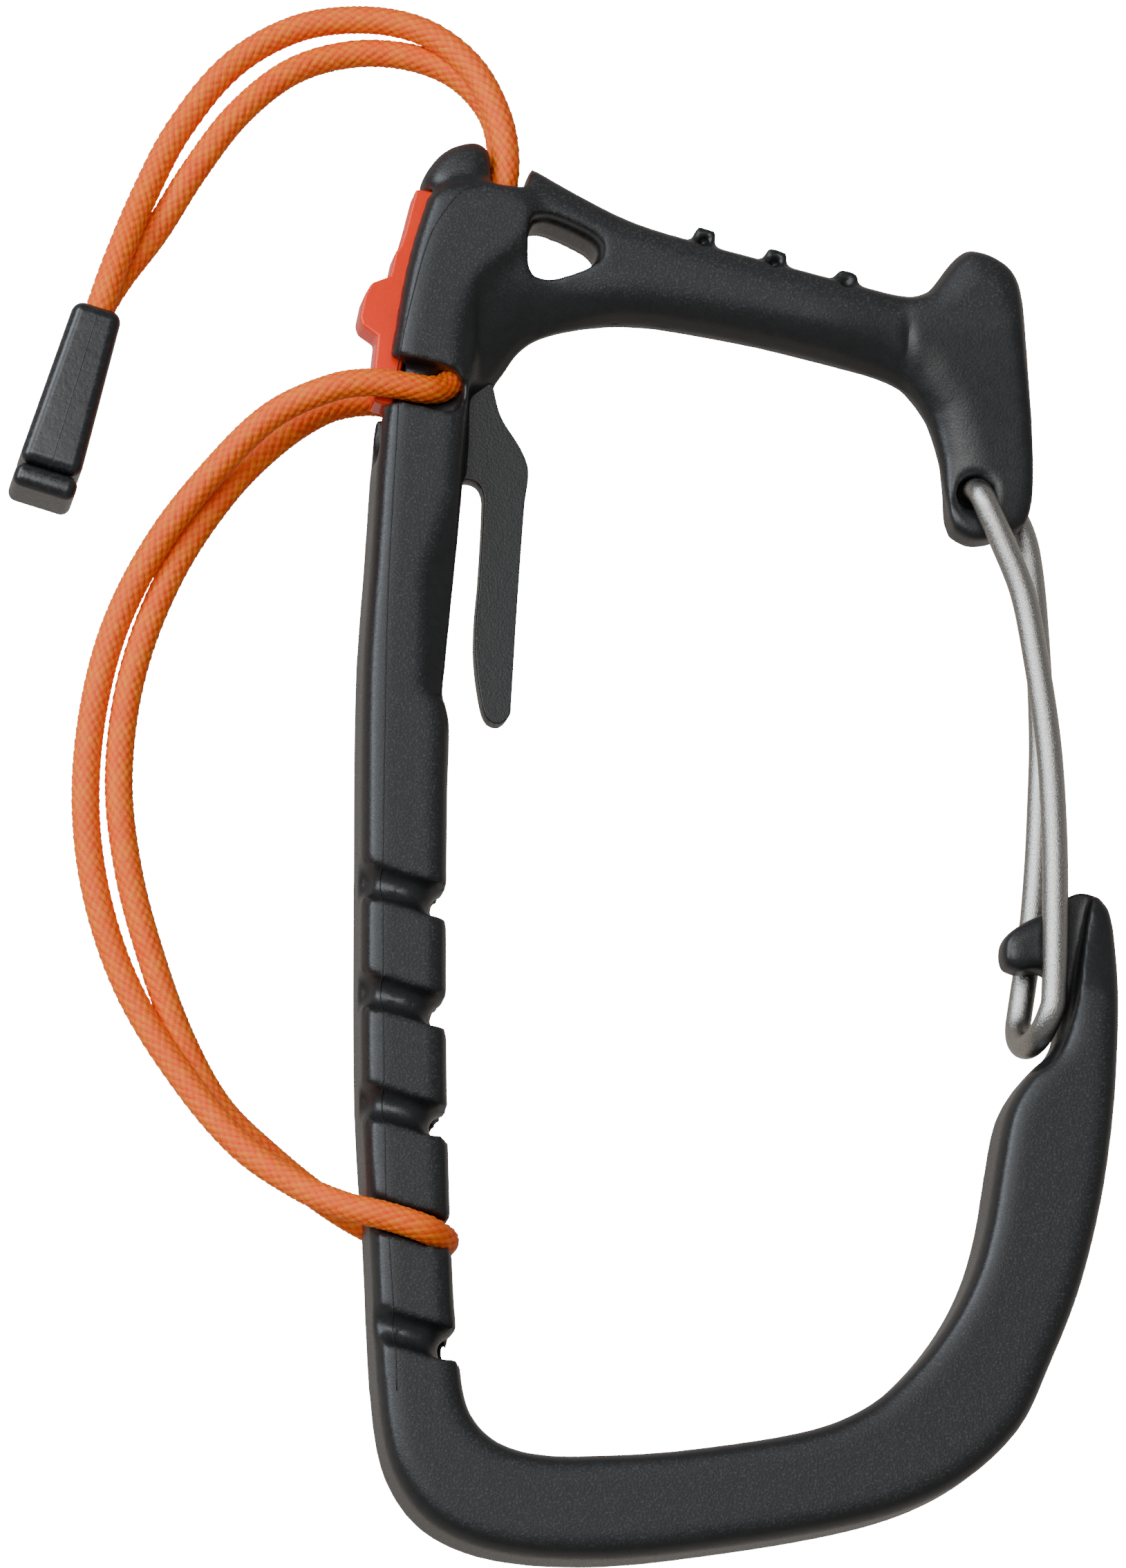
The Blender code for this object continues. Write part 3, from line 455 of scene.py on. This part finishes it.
def gloss_black(finish):
    """Half-gloss moulded black with a fine leathery skin."""
    m = NodeTree("gloss_black")
    place = m.place()
    skin = m.noise(place, 2400.0, 3.0, 0.6)
    wave = m.noise(place, 500.0, 2.0)
    m.set(
        Base_Color=m.blend(m.between(skin, 0.5, 0.75), rgb(finish.end_colour), rgb(finish.end_colour, 3)),
        Roughness=m.between(skin, 0.3, 0.7, 0.24, 0.4),
        Coat_Weight=0.15,
        Coat_Roughness=0.1,
        Normal=m.raised(skin, 0.022, m.raised(wave, 0.03)),
    )
    return m.material


def brass_leaf(finish):
    """A brass-coloured strip with dark cross strokes."""
    m = NodeTree("brass_strip")
    place = m.place()
    brushed = m.noise(m.stretched(place, (1.0, 6.0, 6.0)), 700.0, 3.0)
    m.set(
        Base_Color=m.blend(
            m.between(brushed, 0.3, 0.7), rgb(finish.strip_colour), rgb(finish.strip_colour, 0.6)
        ),
        Metallic=1.0,
        Roughness=m.between(brushed, 0.3, 0.7, 0.2, 0.36),
        Normal=m.raised(brushed, 0.01),
    )
    return m.material


def pale_paper(tone, glow, tint=(1.0, 1.0, 1.0)):
    """Matt white backdrop, lit from behind as on a light table."""
    m = NodeTree("pale_floor")
    m.set(Base_Color=rgb((tone, tone, tone)), Roughness=0.9, Specular_IOR_Level=0.1)
    m.set(Emission_Color=rgb(tint), Emission_Strength=glow)
    return m.material


def linked(name, mesh):
    obj = bpy.data.objects.new(name, mesh)
    bpy.context.scene.collection.objects.link(obj)
    return obj


def applied(obj):
    """The object with its modifiers, curve and place turned into one plain mesh at the origin."""
    bpy.context.view_layer.update()
    graph = bpy.context.evaluated_depsgraph_get()
    made = obj.evaluated_get(graph)
    mesh = bpy.data.meshes.new_from_object(made)
    mesh.transform(obj.matrix_world)
    name = obj.name
    bpy.data.objects.remove(obj, do_unlink=True)
    mesh.name = name
    return linked(name, mesh)


def from_builder(name, builder):
    """A new object from a bmesh, welded and with its faces pointing out."""
    bmesh.ops.remove_doubles(builder, verts=builder.verts, dist=1e-6)
    bmesh.ops.recalc_face_normals(builder, faces=builder.faces)
    mesh = bpy.data.meshes.new(name)
    builder.to_mesh(mesh)
    builder.free()
    return linked(name, mesh)


def tube(name, points, diameter, sides):
    """A round tube along the points, with closed ends and the given even number of sides."""
    curve = bpy.data.curves.new(name, "CURVE")
    curve.dimensions = "3D"
    curve.bevel_depth = diameter / 2 * MM
    curve.bevel_resolution = (sides - 4) // 2
    curve.use_fill_caps = True
    spline = curve.splines.new("POLY")
    spline.points.add(len(points) - 1)
    for slot, point in zip(spline.points, points):
        slot.co = (*point, 1)
    made = applied(linked(name, curve))
    weld_caps(made.data, len(points), sides)
    return made


def distances(points):
    """How far along the run each of its points is."""
    return np.cumsum([0.0, *((b - a).length for a, b in zip(points, points[1:]))])


def weld_caps(mesh, rings, sides):
    """Joins a tube's two end faces to its first and last ring, which keep their order."""
    bm = bmesh.new()
    bm.from_mesh(mesh)
    bm.verts.ensure_lookup_table()
    own = bm.verts[: rings * sides]
    ends = [*own[:sides], *own[-sides:]]
    loose = bm.verts[rings * sides :]
    pairs = {v: min(ends, key=lambda e: (e.co - v.co).length_squared) for v in loose}
    bmesh.ops.weld_verts(bm, targetmap=pairs)
    bm.to_mesh(mesh)
    bm.free()


def wrap_uv(mesh, sides, lengths, diameter):
    """UV in millimetres, U round a tube and V along it, with no seam inside a face."""
    count = len(mesh.loops)
    vertex = np.empty(count, np.int32)
    mesh.loops.foreach_get("vertex_index", vertex)
    starts = np.empty(len(mesh.polygons), np.int32)
    totals = np.empty(len(mesh.polygons), np.int32)
    mesh.polygons.foreach_get("loop_start", starts)
    mesh.polygons.foreach_get("loop_total", totals)
    side = (vertex % sides).astype(float)
    owner = np.repeat(np.arange(len(starts)), totals)
    highest = np.zeros(len(starts))
    np.maximum.at(highest, owner, side)
    crossing = (highest[owner] == sides - 1) & (side == 0) & (totals[owner] <= 4)
    side[crossing] = sides
    uv = np.stack([side / sides * math.pi * diameter, lengths[vertex // sides]], axis=1)
    layer = mesh.uv_layers.new(name="along") if not mesh.uv_layers else mesh.uv_layers[0]
    layer.data.foreach_set("uv", uv.astype(np.float32).ravel())


def finish_piece(obj, paint, body, slot_name, *nodes):
    """Gives a piece its material, shading and body, and hides the nodes that it stands for. Its slot name is
    not used.
    """
    obj.data.materials.clear()
    obj.data.materials.append(paint)
    obj.data.shade_smooth()
    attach(obj, body)
    if nodes:
        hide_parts(*nodes)
    return obj


def cut(obj, *cutters):
    """Cuts one shape after the other out of the object and removes the cutters."""
    for cutter in cutters:
        step = obj.modifiers.new(cutter.name, "BOOLEAN")
        step.operation = "DIFFERENCE"
        step.solver = "EXACT"
        step.object = cutter
    made = applied(obj)
    for cutter in cutters:
        bpy.data.objects.remove(cutter, do_unlink=True)
    return made


def round_edges(bm, rounding, segments):
    """Bevels every edge, if there is a rounding."""
    if rounding:
        bmesh.ops.bevel(
            bm,
            geom=bm.edges[:],
            offset=rounding,
            segments=segments,
            profile=0.5,
            affect="EDGES",
            clamp_overlap=True,
            material=-1,
        )


def prism(name, outline, low, high, rounding=0.0, segments=3):
    """An outline in bench millimetres, extruded from low to high, with its edges rounded."""
    bm = bmesh.new()
    face = bm.faces.new([bm.verts.new(bench(x, y, low)) for x, y in outline])
    grown = bmesh.ops.extrude_face_region(bm, geom=[face])
    moved = [v for v in grown["geom"] if isinstance(v, bmesh.types.BMVert)]
    bmesh.ops.translate(bm, verts=moved, vec=(0, 0, (high - low) * MM))
    bmesh.ops.recalc_face_normals(bm, faces=bm.faces)
    round_edges(bm, rounding * MM, segments)
    return from_builder(name, bm)


def block(name, low, high, place, rounding=0.0, segments=3, taper=None):
    """A rounded box between two corners in its own millimetres. Taper is its width at the top
    of its length as a share of its width at the bottom."""
    bm = bmesh.new()
    bmesh.ops.create_cube(bm, size=1)
    size = Vector(high) - Vector(low)
    middle = (Vector(high) + Vector(low)) / 2
    bmesh.ops.scale(bm, verts=bm.verts, vec=size)
    if taper:
        for v in bm.verts:
            if v.co.y > 0:
                v.co.x *= taper
    bmesh.ops.translate(bm, verts=bm.verts, vec=middle)
    round_edges(bm, rounding, segments)
    bmesh.ops.transform(bm, matrix=place @ Matrix.Scale(MM, 4), verts=bm.verts)
    return from_builder(name, bm)


def positions(mesh):
    """The vertices in bench millimetres."""
    co = np.empty(len(mesh.vertices) * 3, np.float32)
    mesh.vertices.foreach_get("co", co)
    return (co.reshape(-1, 3).astype(float) - np.array(CORNER)) / MM


def set_positions(mesh, co):
    mesh.vertices.foreach_set("co", (co * MM + np.array(CORNER)).astype(np.float32).ravel())
    mesh.update()


def step_up(value, low, high):
    """0 below low, 1 above high, with a soft change between them."""
    t = np.clip((value - low) / (high - low), 0, 1)
    return t * t * (3 - 2 * t)


def near_line(x, y, line):
    """How far each point is from a line of points, in millimetres."""
    nearest = np.full(len(x), 1e9)
    for (ax, ay), (bx, by) in zip(line, line[1:]):
        length = (bx - ax) ** 2 + (by - ay) ** 2
        t = np.clip(((x - ax) * (bx - ax) + (y - ay) * (by - ay)) / length, 0, 1)
        nearest = np.minimum(nearest, np.hypot(x - ax - t * (bx - ax), y - ay - t * (by - ay)))
    return nearest


def write_attribute(mesh, name, values):
    layer = mesh.attributes.new(name, "FLOAT", "POINT")
    layer.data.foreach_set("value", np.asarray(values, np.float32))


def softened(obj, keep_crisp, rounds):
    """Smooths the surface where keep_crisp is 0, and leaves it where that is 1."""
    group = obj.vertex_groups.new(name="soft")
    levels = 10
    share = np.round((1 - keep_crisp) * levels).astype(int)
    for level in range(1, levels + 1):
        group.add(np.flatnonzero(share == level).tolist(), level / levels, "REPLACE")
    step = obj.modifiers.new("soften", "SMOOTH")
    step.factor = 0.5
    step.iterations = rounds
    step.vertex_group = group.name
    return applied(obj)


def weighted(obj):
    """Shades flat faces flat, with the change of tone kept inside the rounded edges."""
    obj.data.shade_smooth()
    step = obj.modifiers.new("weighted", "WEIGHTED_NORMAL")
    step.weight = 100
    return applied(obj)


def joined(name, *parts):
    """One object from several closed shells."""
    bm = bmesh.new()
    for part in parts:
        bm.from_mesh(part.data)
        bpy.data.objects.remove(part, do_unlink=True)
    mesh = bpy.data.meshes.new(name)
    bm.to_mesh(mesh)
    bm.free()
    return linked(name, mesh)


def rolled_under(co):
    """Rounds the inner half of the handle and the head's corner down towards the inner edge."""
    x, y, z = co.T
    away = near_line(x, y, INNER_EDGE)
    along = step_up(x, 18, 28)
    corner_reach = 9.3 - 4.0 * step_up(TOP - 18 - y, 0, 8)
    handle_reach = 5.0
    share = np.clip(away / (corner_reach * (1 - along) + handle_reach * along), 0, 1)
    inside = step_up(y, TOP - 34, TOP - 29) + step_up(x, REACH - 24, REACH - 20)
    inside = np.clip(inside, 0, 1) * step_up(x, 11.0, 12.4) * step_up(y, TOP - 40, TOP - 34)
    edge_share = 0.34
    round_roll = np.sqrt(1 - (1 - share) ** 2)
    slope = 1 - (1 - share) ** 1.6
    height = edge_share + (1 - edge_share) * (round_roll * along + slope * (1 - along))
    co[:, 2] = MIDDLE + (z - MIDDLE) * (1 - inside * (1 - height))
    return co


def eased(co):
    """Leads the handle's faces down into the lobe, and the hook's tip down to the wire's seats."""
    x, y, z = co.T
    half = THICKNESS / 2 - 0.8
    levels = [2.4, 2.4, 2.85, 3.7, 4.3, half]
    lobe = np.interp(y, [TOP - 50, TOP - 34, TOP - 29, TOP - 23, TOP - 17, TOP - 12], levels)
    handle = step_up(x, REACH - 32, REACH - 22) * (x < REACH - 21.5) * (y > TOP - 30)
    tip = step_up(y, 58, 68.5) * step_up(x, REACH - 8, REACH - 5) * (y < 76)
    factor = 1 - handle * (1 - np.minimum(lobe / half, 1))
    tip_drop = 0.42
    factor = factor * (1 - tip_drop * tip * step_up(np.abs(z - MIDDLE), 1.0, 2.6))
    co[:, 2] = MIDDLE + (z - MIDDLE) * factor
    return co


def seam_on(skin, name, line, radius):
    """A thin raised line that follows a skin's near side."""
    tree = BVHTree.FromObject(skin, bpy.context.evaluated_depsgraph_get())
    points = []
    for flat in smooth_run([(x, y, 0.0) for x, y in line], 0.6):
        hit = tree.ray_cast(bench(flat.x, flat.y, THICKNESS + 3.0), Vector((0, 0, -1)))[0]
        if hit:
            points.append(hit)
    if len(points) < 2:
        raise RuntimeError(f"{name} misses the skin")
    return tube(name, points, 2 * radius, 6)


def frame_skin(step):
    """A copy of the frame's moulded body without its tongue, as one even skin of small faces."""
    bm = bmesh.new()
    bm.from_mesh(frame["nodes"]["frame"].data)
    bmesh.ops.remove_doubles(bm, verts=bm.verts, dist=1e-6)
    mesh = bpy.data.meshes.new("moulded_body")
    bm.to_mesh(mesh)
    bm.free()
    left, right, upper, lower = 11.7, 19.5, TOP - 28.2, TOP - 64.0
    around = [(left, upper), (right, upper), (right, lower), (left, lower)]
    body = cut(linked("moulded_body", mesh), prism("tongue_space", around, 2.0, THICKNESS - 2.0))
    skin = body.modifiers.new("skin", "REMESH")
    skin.mode = "VOXEL"
    skin.voxel_size = step
    return applied(body)


def crisp_share(co):
    """How far each point of the skin keeps its edges: 0 where they are smoothed, 1 where not."""
    x, y, z = co.T
    slot = (1 - step_up(np.abs(y - SLOT_Y), 4, 6)) * (1 - step_up(x, 10, 13))
    bumps = (x > 33) * (x < 55) * step_up(y, TOP - 15.5, TOP - 13.5)
    pivots = 1 - step_up(np.hypot(x - NEAR_PIVOT[0], y - NEAR_PIVOT[1]), 3.5, 5)
    hole = 1 - step_up(np.hypot(x - HOLE_PLACE[0], y - HOLE_PLACE[1]), 5.5, 7)
    last_groove = FIRST_GROOVE + GROOVE_PITCH * (GROOVE_COUNT - 1)
    grooves = (x < 11) * (y > FIRST_GROOVE - 3.5) * (y < last_groove + 3.5)
    crisp = np.zeros(len(co))
    for region, amount in ((slot, 0.8), (bumps, 0.85), (pivots, 1.0), (hole, 0.7), (grooves, 0.65)):
        crisp = np.maximum(crisp, region * amount)
    return crisp


def grain_share(co):
    """How much texture each point has: 1 on the flat near faces, 0 on polished rounds. It also sets where
    painted glints lighten the body's colour.
    """
    x, y, z = co.T
    flat = step_up(z, THICKNESS - 0.5, THICKNESS - 0.15)
    handle = step_up(x, 12, 20) * step_up(y, TOP - 20, TOP - 16) * step_up(z, 8.9, 9.7)
    hood = step_up(y, TOP - 4.6, TOP - 3.6) * (x < 16)
    return np.maximum(flat, np.maximum(handle, hood * 0.7))


def make_body(settings, paint):
    """The moulded body: one skin with soft fillets over the frame's shape, and a flat tongue."""
    body = frame_skin(settings.skin_step)
    co = positions(body.data)
    crisp = crisp_share(co)
    set_positions(body.data, eased(co))
    body = softened(body, crisp, settings.soften_rounds)
    set_positions(body.data, rolled_under(positions(body.data)))
    seam = seam_on(body, "mould_seam", MOULD_SEAM, SEAM_RADIUS)
    half = TONGUE_THICKNESS / 2
    tongue = weighted(prism("tongue", tongue_outline(), MIDDLE - half, MIDDLE + half, 0.14, 2))
    body = joined("moulded_body", body, tongue, seam)
    write_attribute(body.data, "grain", grain_share(positions(body.data)))
    return finish_piece(body, paint, "body", "frame", "frame")


def make_wire(paint):
    """The wire gate, bent from one length of round wire."""
    sides = 24
    points = smooth_run(wire_route(), 0.7)
    wire = tube("gate_wire", [bench(*p) for p in points], WIRE_DIAMETER, sides)
    wrap_uv(wire.data, sides, distances(points), WIRE_DIAMETER)
    return finish_piece(wire, paint, "gate", "wire", "wire_gate")


def braid(angle, along, settings):
    """Height, gap depth and tone of the braid at each point of the cord's surface."""
    around = angle / (2 * math.pi) * settings.carriers
    lengthways = along / settings.stitch_length
    first, second = around + lengthways, around - lengthways
    cell = np.floor(first) + np.floor(second)
    over = np.mod(cell, 2) < 0.5
    across = np.where(over, np.mod(first, 1), np.mod(second, 1)) * 2 - 1
    length = np.where(over, np.mod(second, 1), np.mod(first, 1)) * 2 - 1
    round_top = np.sqrt(np.clip(1 - (across * 0.96) ** 2, 0, 1))
    height = round_top * (1 - 0.5 * length**2)
    forward = np.mod(np.floor(first), settings.carriers)
    backward = np.mod(np.floor(second), settings.carriers) + 57
    strand = np.where(over, forward, backward)
    tone = np.mod(np.sin(strand * 12.9898 + np.floor(cell / 2) * 78.233) * 43758.5453, 1)
    return height, 1 - height, tone


def make_cord(settings, paint):
    """The braided accessory cord, in one length from barrel to barrel."""
    sides = 44
    route = cord_route()
    points = smooth_run(route, settings.ring_step)
    base = settings.diameter / MM - 2 * settings.braid_rise / MM * 0.55
    cord = tube("accessory_cord", [bench(*p) for p in points], base, sides)
    mesh = cord.data
    along = distances(points)
    wrap_uv(mesh, sides, along, settings.diameter / MM)
    index = np.arange(len(mesh.vertices))
    ring = index // sides
    angle = (index % sides) / sides * 2 * math.pi
    height, hollow, tone = braid(angle, along[ring], settings)
    co = positions(mesh)
    centres = np.array([tuple(p) for p in points])[ring]
    outwards = co - centres
    outwards /= np.maximum(np.linalg.norm(outwards, axis=1, keepdims=True), 1e-9)
    set_positions(mesh, co + outwards * (height * settings.braid_rise / MM)[:, None])
    # The hollow attribute sets where the cord gets its painted shade and its painted crest highlight
    write_attribute(mesh, "hollow", hollow)
    write_attribute(mesh, "stitch", tone)
    finish_piece(cord, paint, "body", "cord", "cord")
    coarse = [bench(*p) for p in smooth_run(route, 2.0)]
    return cord, coarse


def make_lock(paint):
    """The orange cord lock with its thumb knob and two tips."""
    half = SLIDER_THICKNESS / 2
    lock = prism("cord_lock", slider_outline(), MIDDLE - half, MIDDLE + half, 0.3, 3)
    split = [(2.0, TOP - 4.0), (9.6, TOP - 4.0), (8.0, TOP - 12.5), (2.0, TOP - 12.5)]
    lock = weighted(cut(lock, prism("tip_split", split, MIDDLE - 0.7, MIDDLE + 0.7)))
    return finish_piece(lock, paint, "slider", "slider", "cord_lock_slider")


def make_cord_end(black, brass):
    """The moulded barrel on both cord ends, its cap, its seams and the strip let into its side."""
    place = Matrix.Translation(bench(*CORD_END_PLACE)) @ Matrix.Rotation(CORD_END_TURN, 4, "Z")
    half = CORD_END_LENGTH / 2
    split = -half + CAP_LENGTH
    wide = CORD_END_WIDTH / 2
    narrow = wide - 0.75
    low, high = 0.05, 0.05 + CORD_END_HEIGHT
    start = split + CAP_GAP / 2
    barrel = block("cord_end_body", (-wide, start, low), (wide, half, high), place, 1.2, 6, narrow / wide)
    side = END_LINE_WIDTH / 2
    line = block(
        "cord_end_line", (-side, split + 1.0, high - 0.3), (side, half - 1.2, high + 0.05), place, 0.03, 2
    )
    barrel = weighted(joined("cord_end_body", barrel, line))
    cap = block("cord_end_foot", (-wide, -half, low), (wide, split - CAP_GAP / 2, high), place, 1.0, 6)
    cap = weighted(cap)
    for obj, node in ((barrel, "cord_end_barrel"), (cap, "cord_end_cap")):
        finish_piece(obj, black, "body", "cord_end", node)
    strip_node = frame["nodes"]["cord_end_strip"]
    strip_node.data.materials.clear()
    strip_node.data.materials.append(brass)
    return [barrel, cap, strip_node]


def add_floor(settings):
    bm = bmesh.new()
    bmesh.ops.create_grid(bm, x_segments=1, y_segments=1, size=settings.floor_size)
    mesh = bpy.data.meshes.new("floor")
    bm.to_mesh(mesh)
    bm.free()
    mesh.materials.append(pale_paper(settings.floor_tone, settings.floor_glow))
    floor = linked("floor", mesh)
    floor.location.z = -FLOOR_DROP
    floor.visible_diffuse = False
    floor.visible_glossy = False
    bounce = linked("bounce", mesh.copy())
    bounce.data.materials.clear()
    bounce.data.materials.append(pale_paper(0.0, settings.bounce, (1.0, 0.92, 0.85)))
    bounce.location.z = -2 * FLOOR_DROP
    bounce.visible_camera = False


def add_light(name, place, aim, size, energy, colour=(1.0, 1.0, 1.0)):
    light = bpy.data.lights.new(name, "AREA")
    light.shape = "RECTANGLE"
    light.size, light.size_y = size
    light.energy = energy
    light.color = colour
    obj = linked(name, light)
    obj.location = place
    obj.rotation_mode = "QUATERNION"
    obj.rotation_quaternion = (Vector(aim) - Vector(place)).to_track_quat("-Z", "Y")


def add_camera():
    """Looks down steeply from the spine's side and a little from the hook, with Y up the frame."""
    azimuth, elevation, distance = math.radians(-37.5), math.radians(74.5), 0.9
    back = Vector(
        (
            math.sin(azimuth) * math.cos(elevation),
            -math.cos(azimuth) * math.cos(elevation),
            math.sin(elevation),
        )
    )
    place = bench(38.6, 73.0, THICKNESS) + back * distance
    forward = (bench(20.7, 80.1, THICKNESS) - place).normalized()
    right = forward.cross(Vector((0, 1, 0))).normalized()
    up = right.cross(forward)
    camera = bpy.data.cameras.new("camera")
    camera.lens = 200.0
    camera.sensor_width = 36.0
    camera.clip_start, camera.clip_end = 0.05, 10.0
    obj = linked("camera", camera)
    obj.matrix_world = Matrix.Translation(place) @ Matrix((right, up, -forward)).transposed().to_4x4()
    bpy.context.scene.camera = obj


def add_world(strength):
    world = bpy.data.worlds.new("studio")
    world.use_nodes = True
    background = world.node_tree.nodes["Background"]
    background.inputs["Color"].default_value = (1.0, 1.0, 1.0, 1.0)
    background.inputs["Strength"].default_value = strength
    bpy.context.scene.world = world


def colour(name, description, default):
    return FloatVectorProperty(name=name, description=description, subtype="COLOR", default=default)


def distance(name, description, default):
    return FloatProperty(
        name=name, description=description, subtype="DISTANCE", unit="LENGTH", default=default
    )


class CarabinerFinish(bpy.types.PropertyGroup):
    body_colour: colour("Body", "Colour of the moulded body", (0.0075, 0.008, 0.0085))
    wire_colour: colour("Wire", "Colour of the gate wire", (0.5, 0.49, 0.465))
    lock_colour: colour("Cord lock", "Colour of the cord lock", (1.0, 0.035, 0.0))
    cord_colour: colour("Cord", "Main colour of the cord", (1.0, 0.125, 0.0))
    cord_light: colour("Cord, light", "Colour of the light stitches", (1.0, 0.2, 0.0))
    # Painted highlight colour for the lit fibres on the stitch crests
    cord_crest_highlight: colour("Cord, fleck", "Colour of the lit fibres", (1.0, 0.55, 0.18))
    # Painted shade colour for the gaps between the stitches
    cord_shadow: colour("Cord, gaps", "Colour between the stitches", (0.8, 0.02, 0.0))
    end_colour: colour("Cord end", "Colour of the cord end", (0.008, 0.0085, 0.01))
    strip_colour: colour("Strip", "Colour of the strip on the cord end", (0.62, 0.46, 0.16))


class CarabinerBody(bpy.types.PropertyGroup):
    skin_step: distance("Skin step", "Size of the skin's faces", 0.00042)
    soften_rounds: IntProperty(
        name="Softening", description="How often the skin is smoothed", min=0, max=60, default=14
    )


class CarabinerCord(bpy.types.PropertyGroup):
    diameter: distance("Diameter", "Cord diameter", CORD_DIAMETER * MM)
    braid_rise: distance("Braid rise", "How far a stitch stands up", 0.0003)
    carriers: IntProperty(name="Carriers", description="Strands each way round the cord", min=4, default=10)
    stitch_length: FloatProperty(
        name="Stitch length", description="Length of a stitch in millimetres", default=1.25
    )
    ring_step: FloatProperty(
        name="Ring step", description="Distance between rings of the surface in millimetres", default=0.25
    )


class CarabinerStage(bpy.types.PropertyGroup):
    floor_tone: FloatProperty(name="Floor tone", description="Paleness of the floor", default=0.9)
    floor_size: distance("Floor size", "Half the floor's width", 2.0)
    floor_glow: FloatProperty(name="Floor glow", description="How strongly the floor shines", default=16.0)
    bounce: FloatProperty(name="Bounce", description="Light that the floor gives the pieces", default=0.5)
    fill: FloatProperty(name="Fill", description="Strength of the light from all round", default=0.3)
    key: FloatProperty(name="Key", description="Power of the overhead light", unit="POWER", default=6.0)
    edge: FloatProperty(name="Edge", description="Power of the side light", unit="POWER", default=10.0)


class CARABINER_OT_stage(bpy.types.Operator):
    """Sets the floor, the lights and the camera"""

    bl_idname = "carabiner.stage"
    bl_label = "Stage"

    def execute(self, context):
        settings = context.scene.carabiner_stage
        add_floor(settings)
        add_camera()
        add_world(settings.fill)
        add_light("overhead", (-0.32, 0.16, 1.0), (0, 0, 0), (0.6, 0.6), settings.key)
        add_light("left_strip", (-0.8, 0.35, 0.55), (0, 0, 0), (1.0, 0.45), settings.edge, (0.84, 0.91, 1.0))
        return {"FINISHED"}


class CARABINER_OT_cord(bpy.types.Operator):
    """Makes the cord and the cord end"""

    bl_idname = "carabiner.cord"
    bl_label = "Cord and cord end"

    def execute(self, context):
        scene = context.scene
        finish = scene.carabiner_finish
        pieces = make_cord_end(gloss_black(finish), brass_leaf(finish))
        cord, path = make_cord(scene.carabiner_cord, orange_braid(finish))
        return {"FINISHED"}


class CARABINER_OT_body(bpy.types.Operator):
    """Makes the moulded body"""

    bl_idname = "carabiner.body"
    bl_label = "Moulded body"

    def execute(self, context):
        make_body(context.scene.carabiner_body, black_polyamide(context.scene.carabiner_finish))
        return {"FINISHED"}


class CARABINER_OT_gate(bpy.types.Operator):
    """Makes the wire gate"""

    bl_idname = "carabiner.gate"
    bl_label = "Wire gate"

    def execute(self, context):
        make_wire(satin_steel(context.scene.carabiner_finish))
        return {"FINISHED"}


class CARABINER_OT_lock(bpy.types.Operator):
    """Makes the cord lock"""

    bl_idname = "carabiner.lock"
    bl_label = "Cord lock"

    def execute(self, context):
        make_lock(orange_acetal(context.scene.carabiner_finish))
        return {"FINISHED"}


class CARABINER_PT_panel(bpy.types.Panel):
    """Lists the carabiner's settings and pieces"""

    bl_idname = "CARABINER_PT_panel"
    bl_label = "Tool Carabiner"
    bl_space_type = "VIEW_3D"
    bl_region_type = "UI"
    bl_category = "Tool Carabiner"

    def draw(self, context):
        for group in GROUPS:
            settings = getattr(context.scene, group)
            box = self.layout.box()
            for key in settings.bl_rna.properties.keys():
                if key not in ("rna_type", "name"):
                    box.prop(settings, key)
        for operator in OPERATORS:
            self.layout.operator(operator.bl_idname)


GROUPS = {
    "carabiner_finish": CarabinerFinish,
    "carabiner_body": CarabinerBody,
    "carabiner_cord": CarabinerCord,
    "carabiner_stage": CarabinerStage,
}
OPERATORS = (
    CARABINER_OT_stage, CARABINER_OT_cord, CARABINER_OT_body, CARABINER_OT_gate, CARABINER_OT_lock,
)


def register():
    for made in (*GROUPS.values(), *OPERATORS, CARABINER_PT_panel):
        bpy.utils.register_class(made)
    for name, group in GROUPS.items():
        setattr(bpy.types.Scene, name, PointerProperty(type=group))


def unregister():
    for name in GROUPS:
        delattr(bpy.types.Scene, name)
    for made in reversed((*GROUPS.values(), *OPERATORS, CARABINER_PT_panel)):
        bpy.utils.unregister_class(made)


def clear_startup():
    """Removes what the startup file holds besides the frame."""
    kept = {*frame["nodes"].values(), *frame["bodies"].values()}
    for obj in list(bpy.data.objects):
        if obj not in kept:
            bpy.data.objects.remove(obj, do_unlink=True)


def main():
    register()
    clear_startup()
    bpy.ops.carabiner.stage()
    bpy.ops.carabiner.cord()
    bpy.ops.carabiner.body()
    bpy.ops.carabiner.gate()
    bpy.ops.carabiner.lock()


if __name__ == "__main__":
    main()
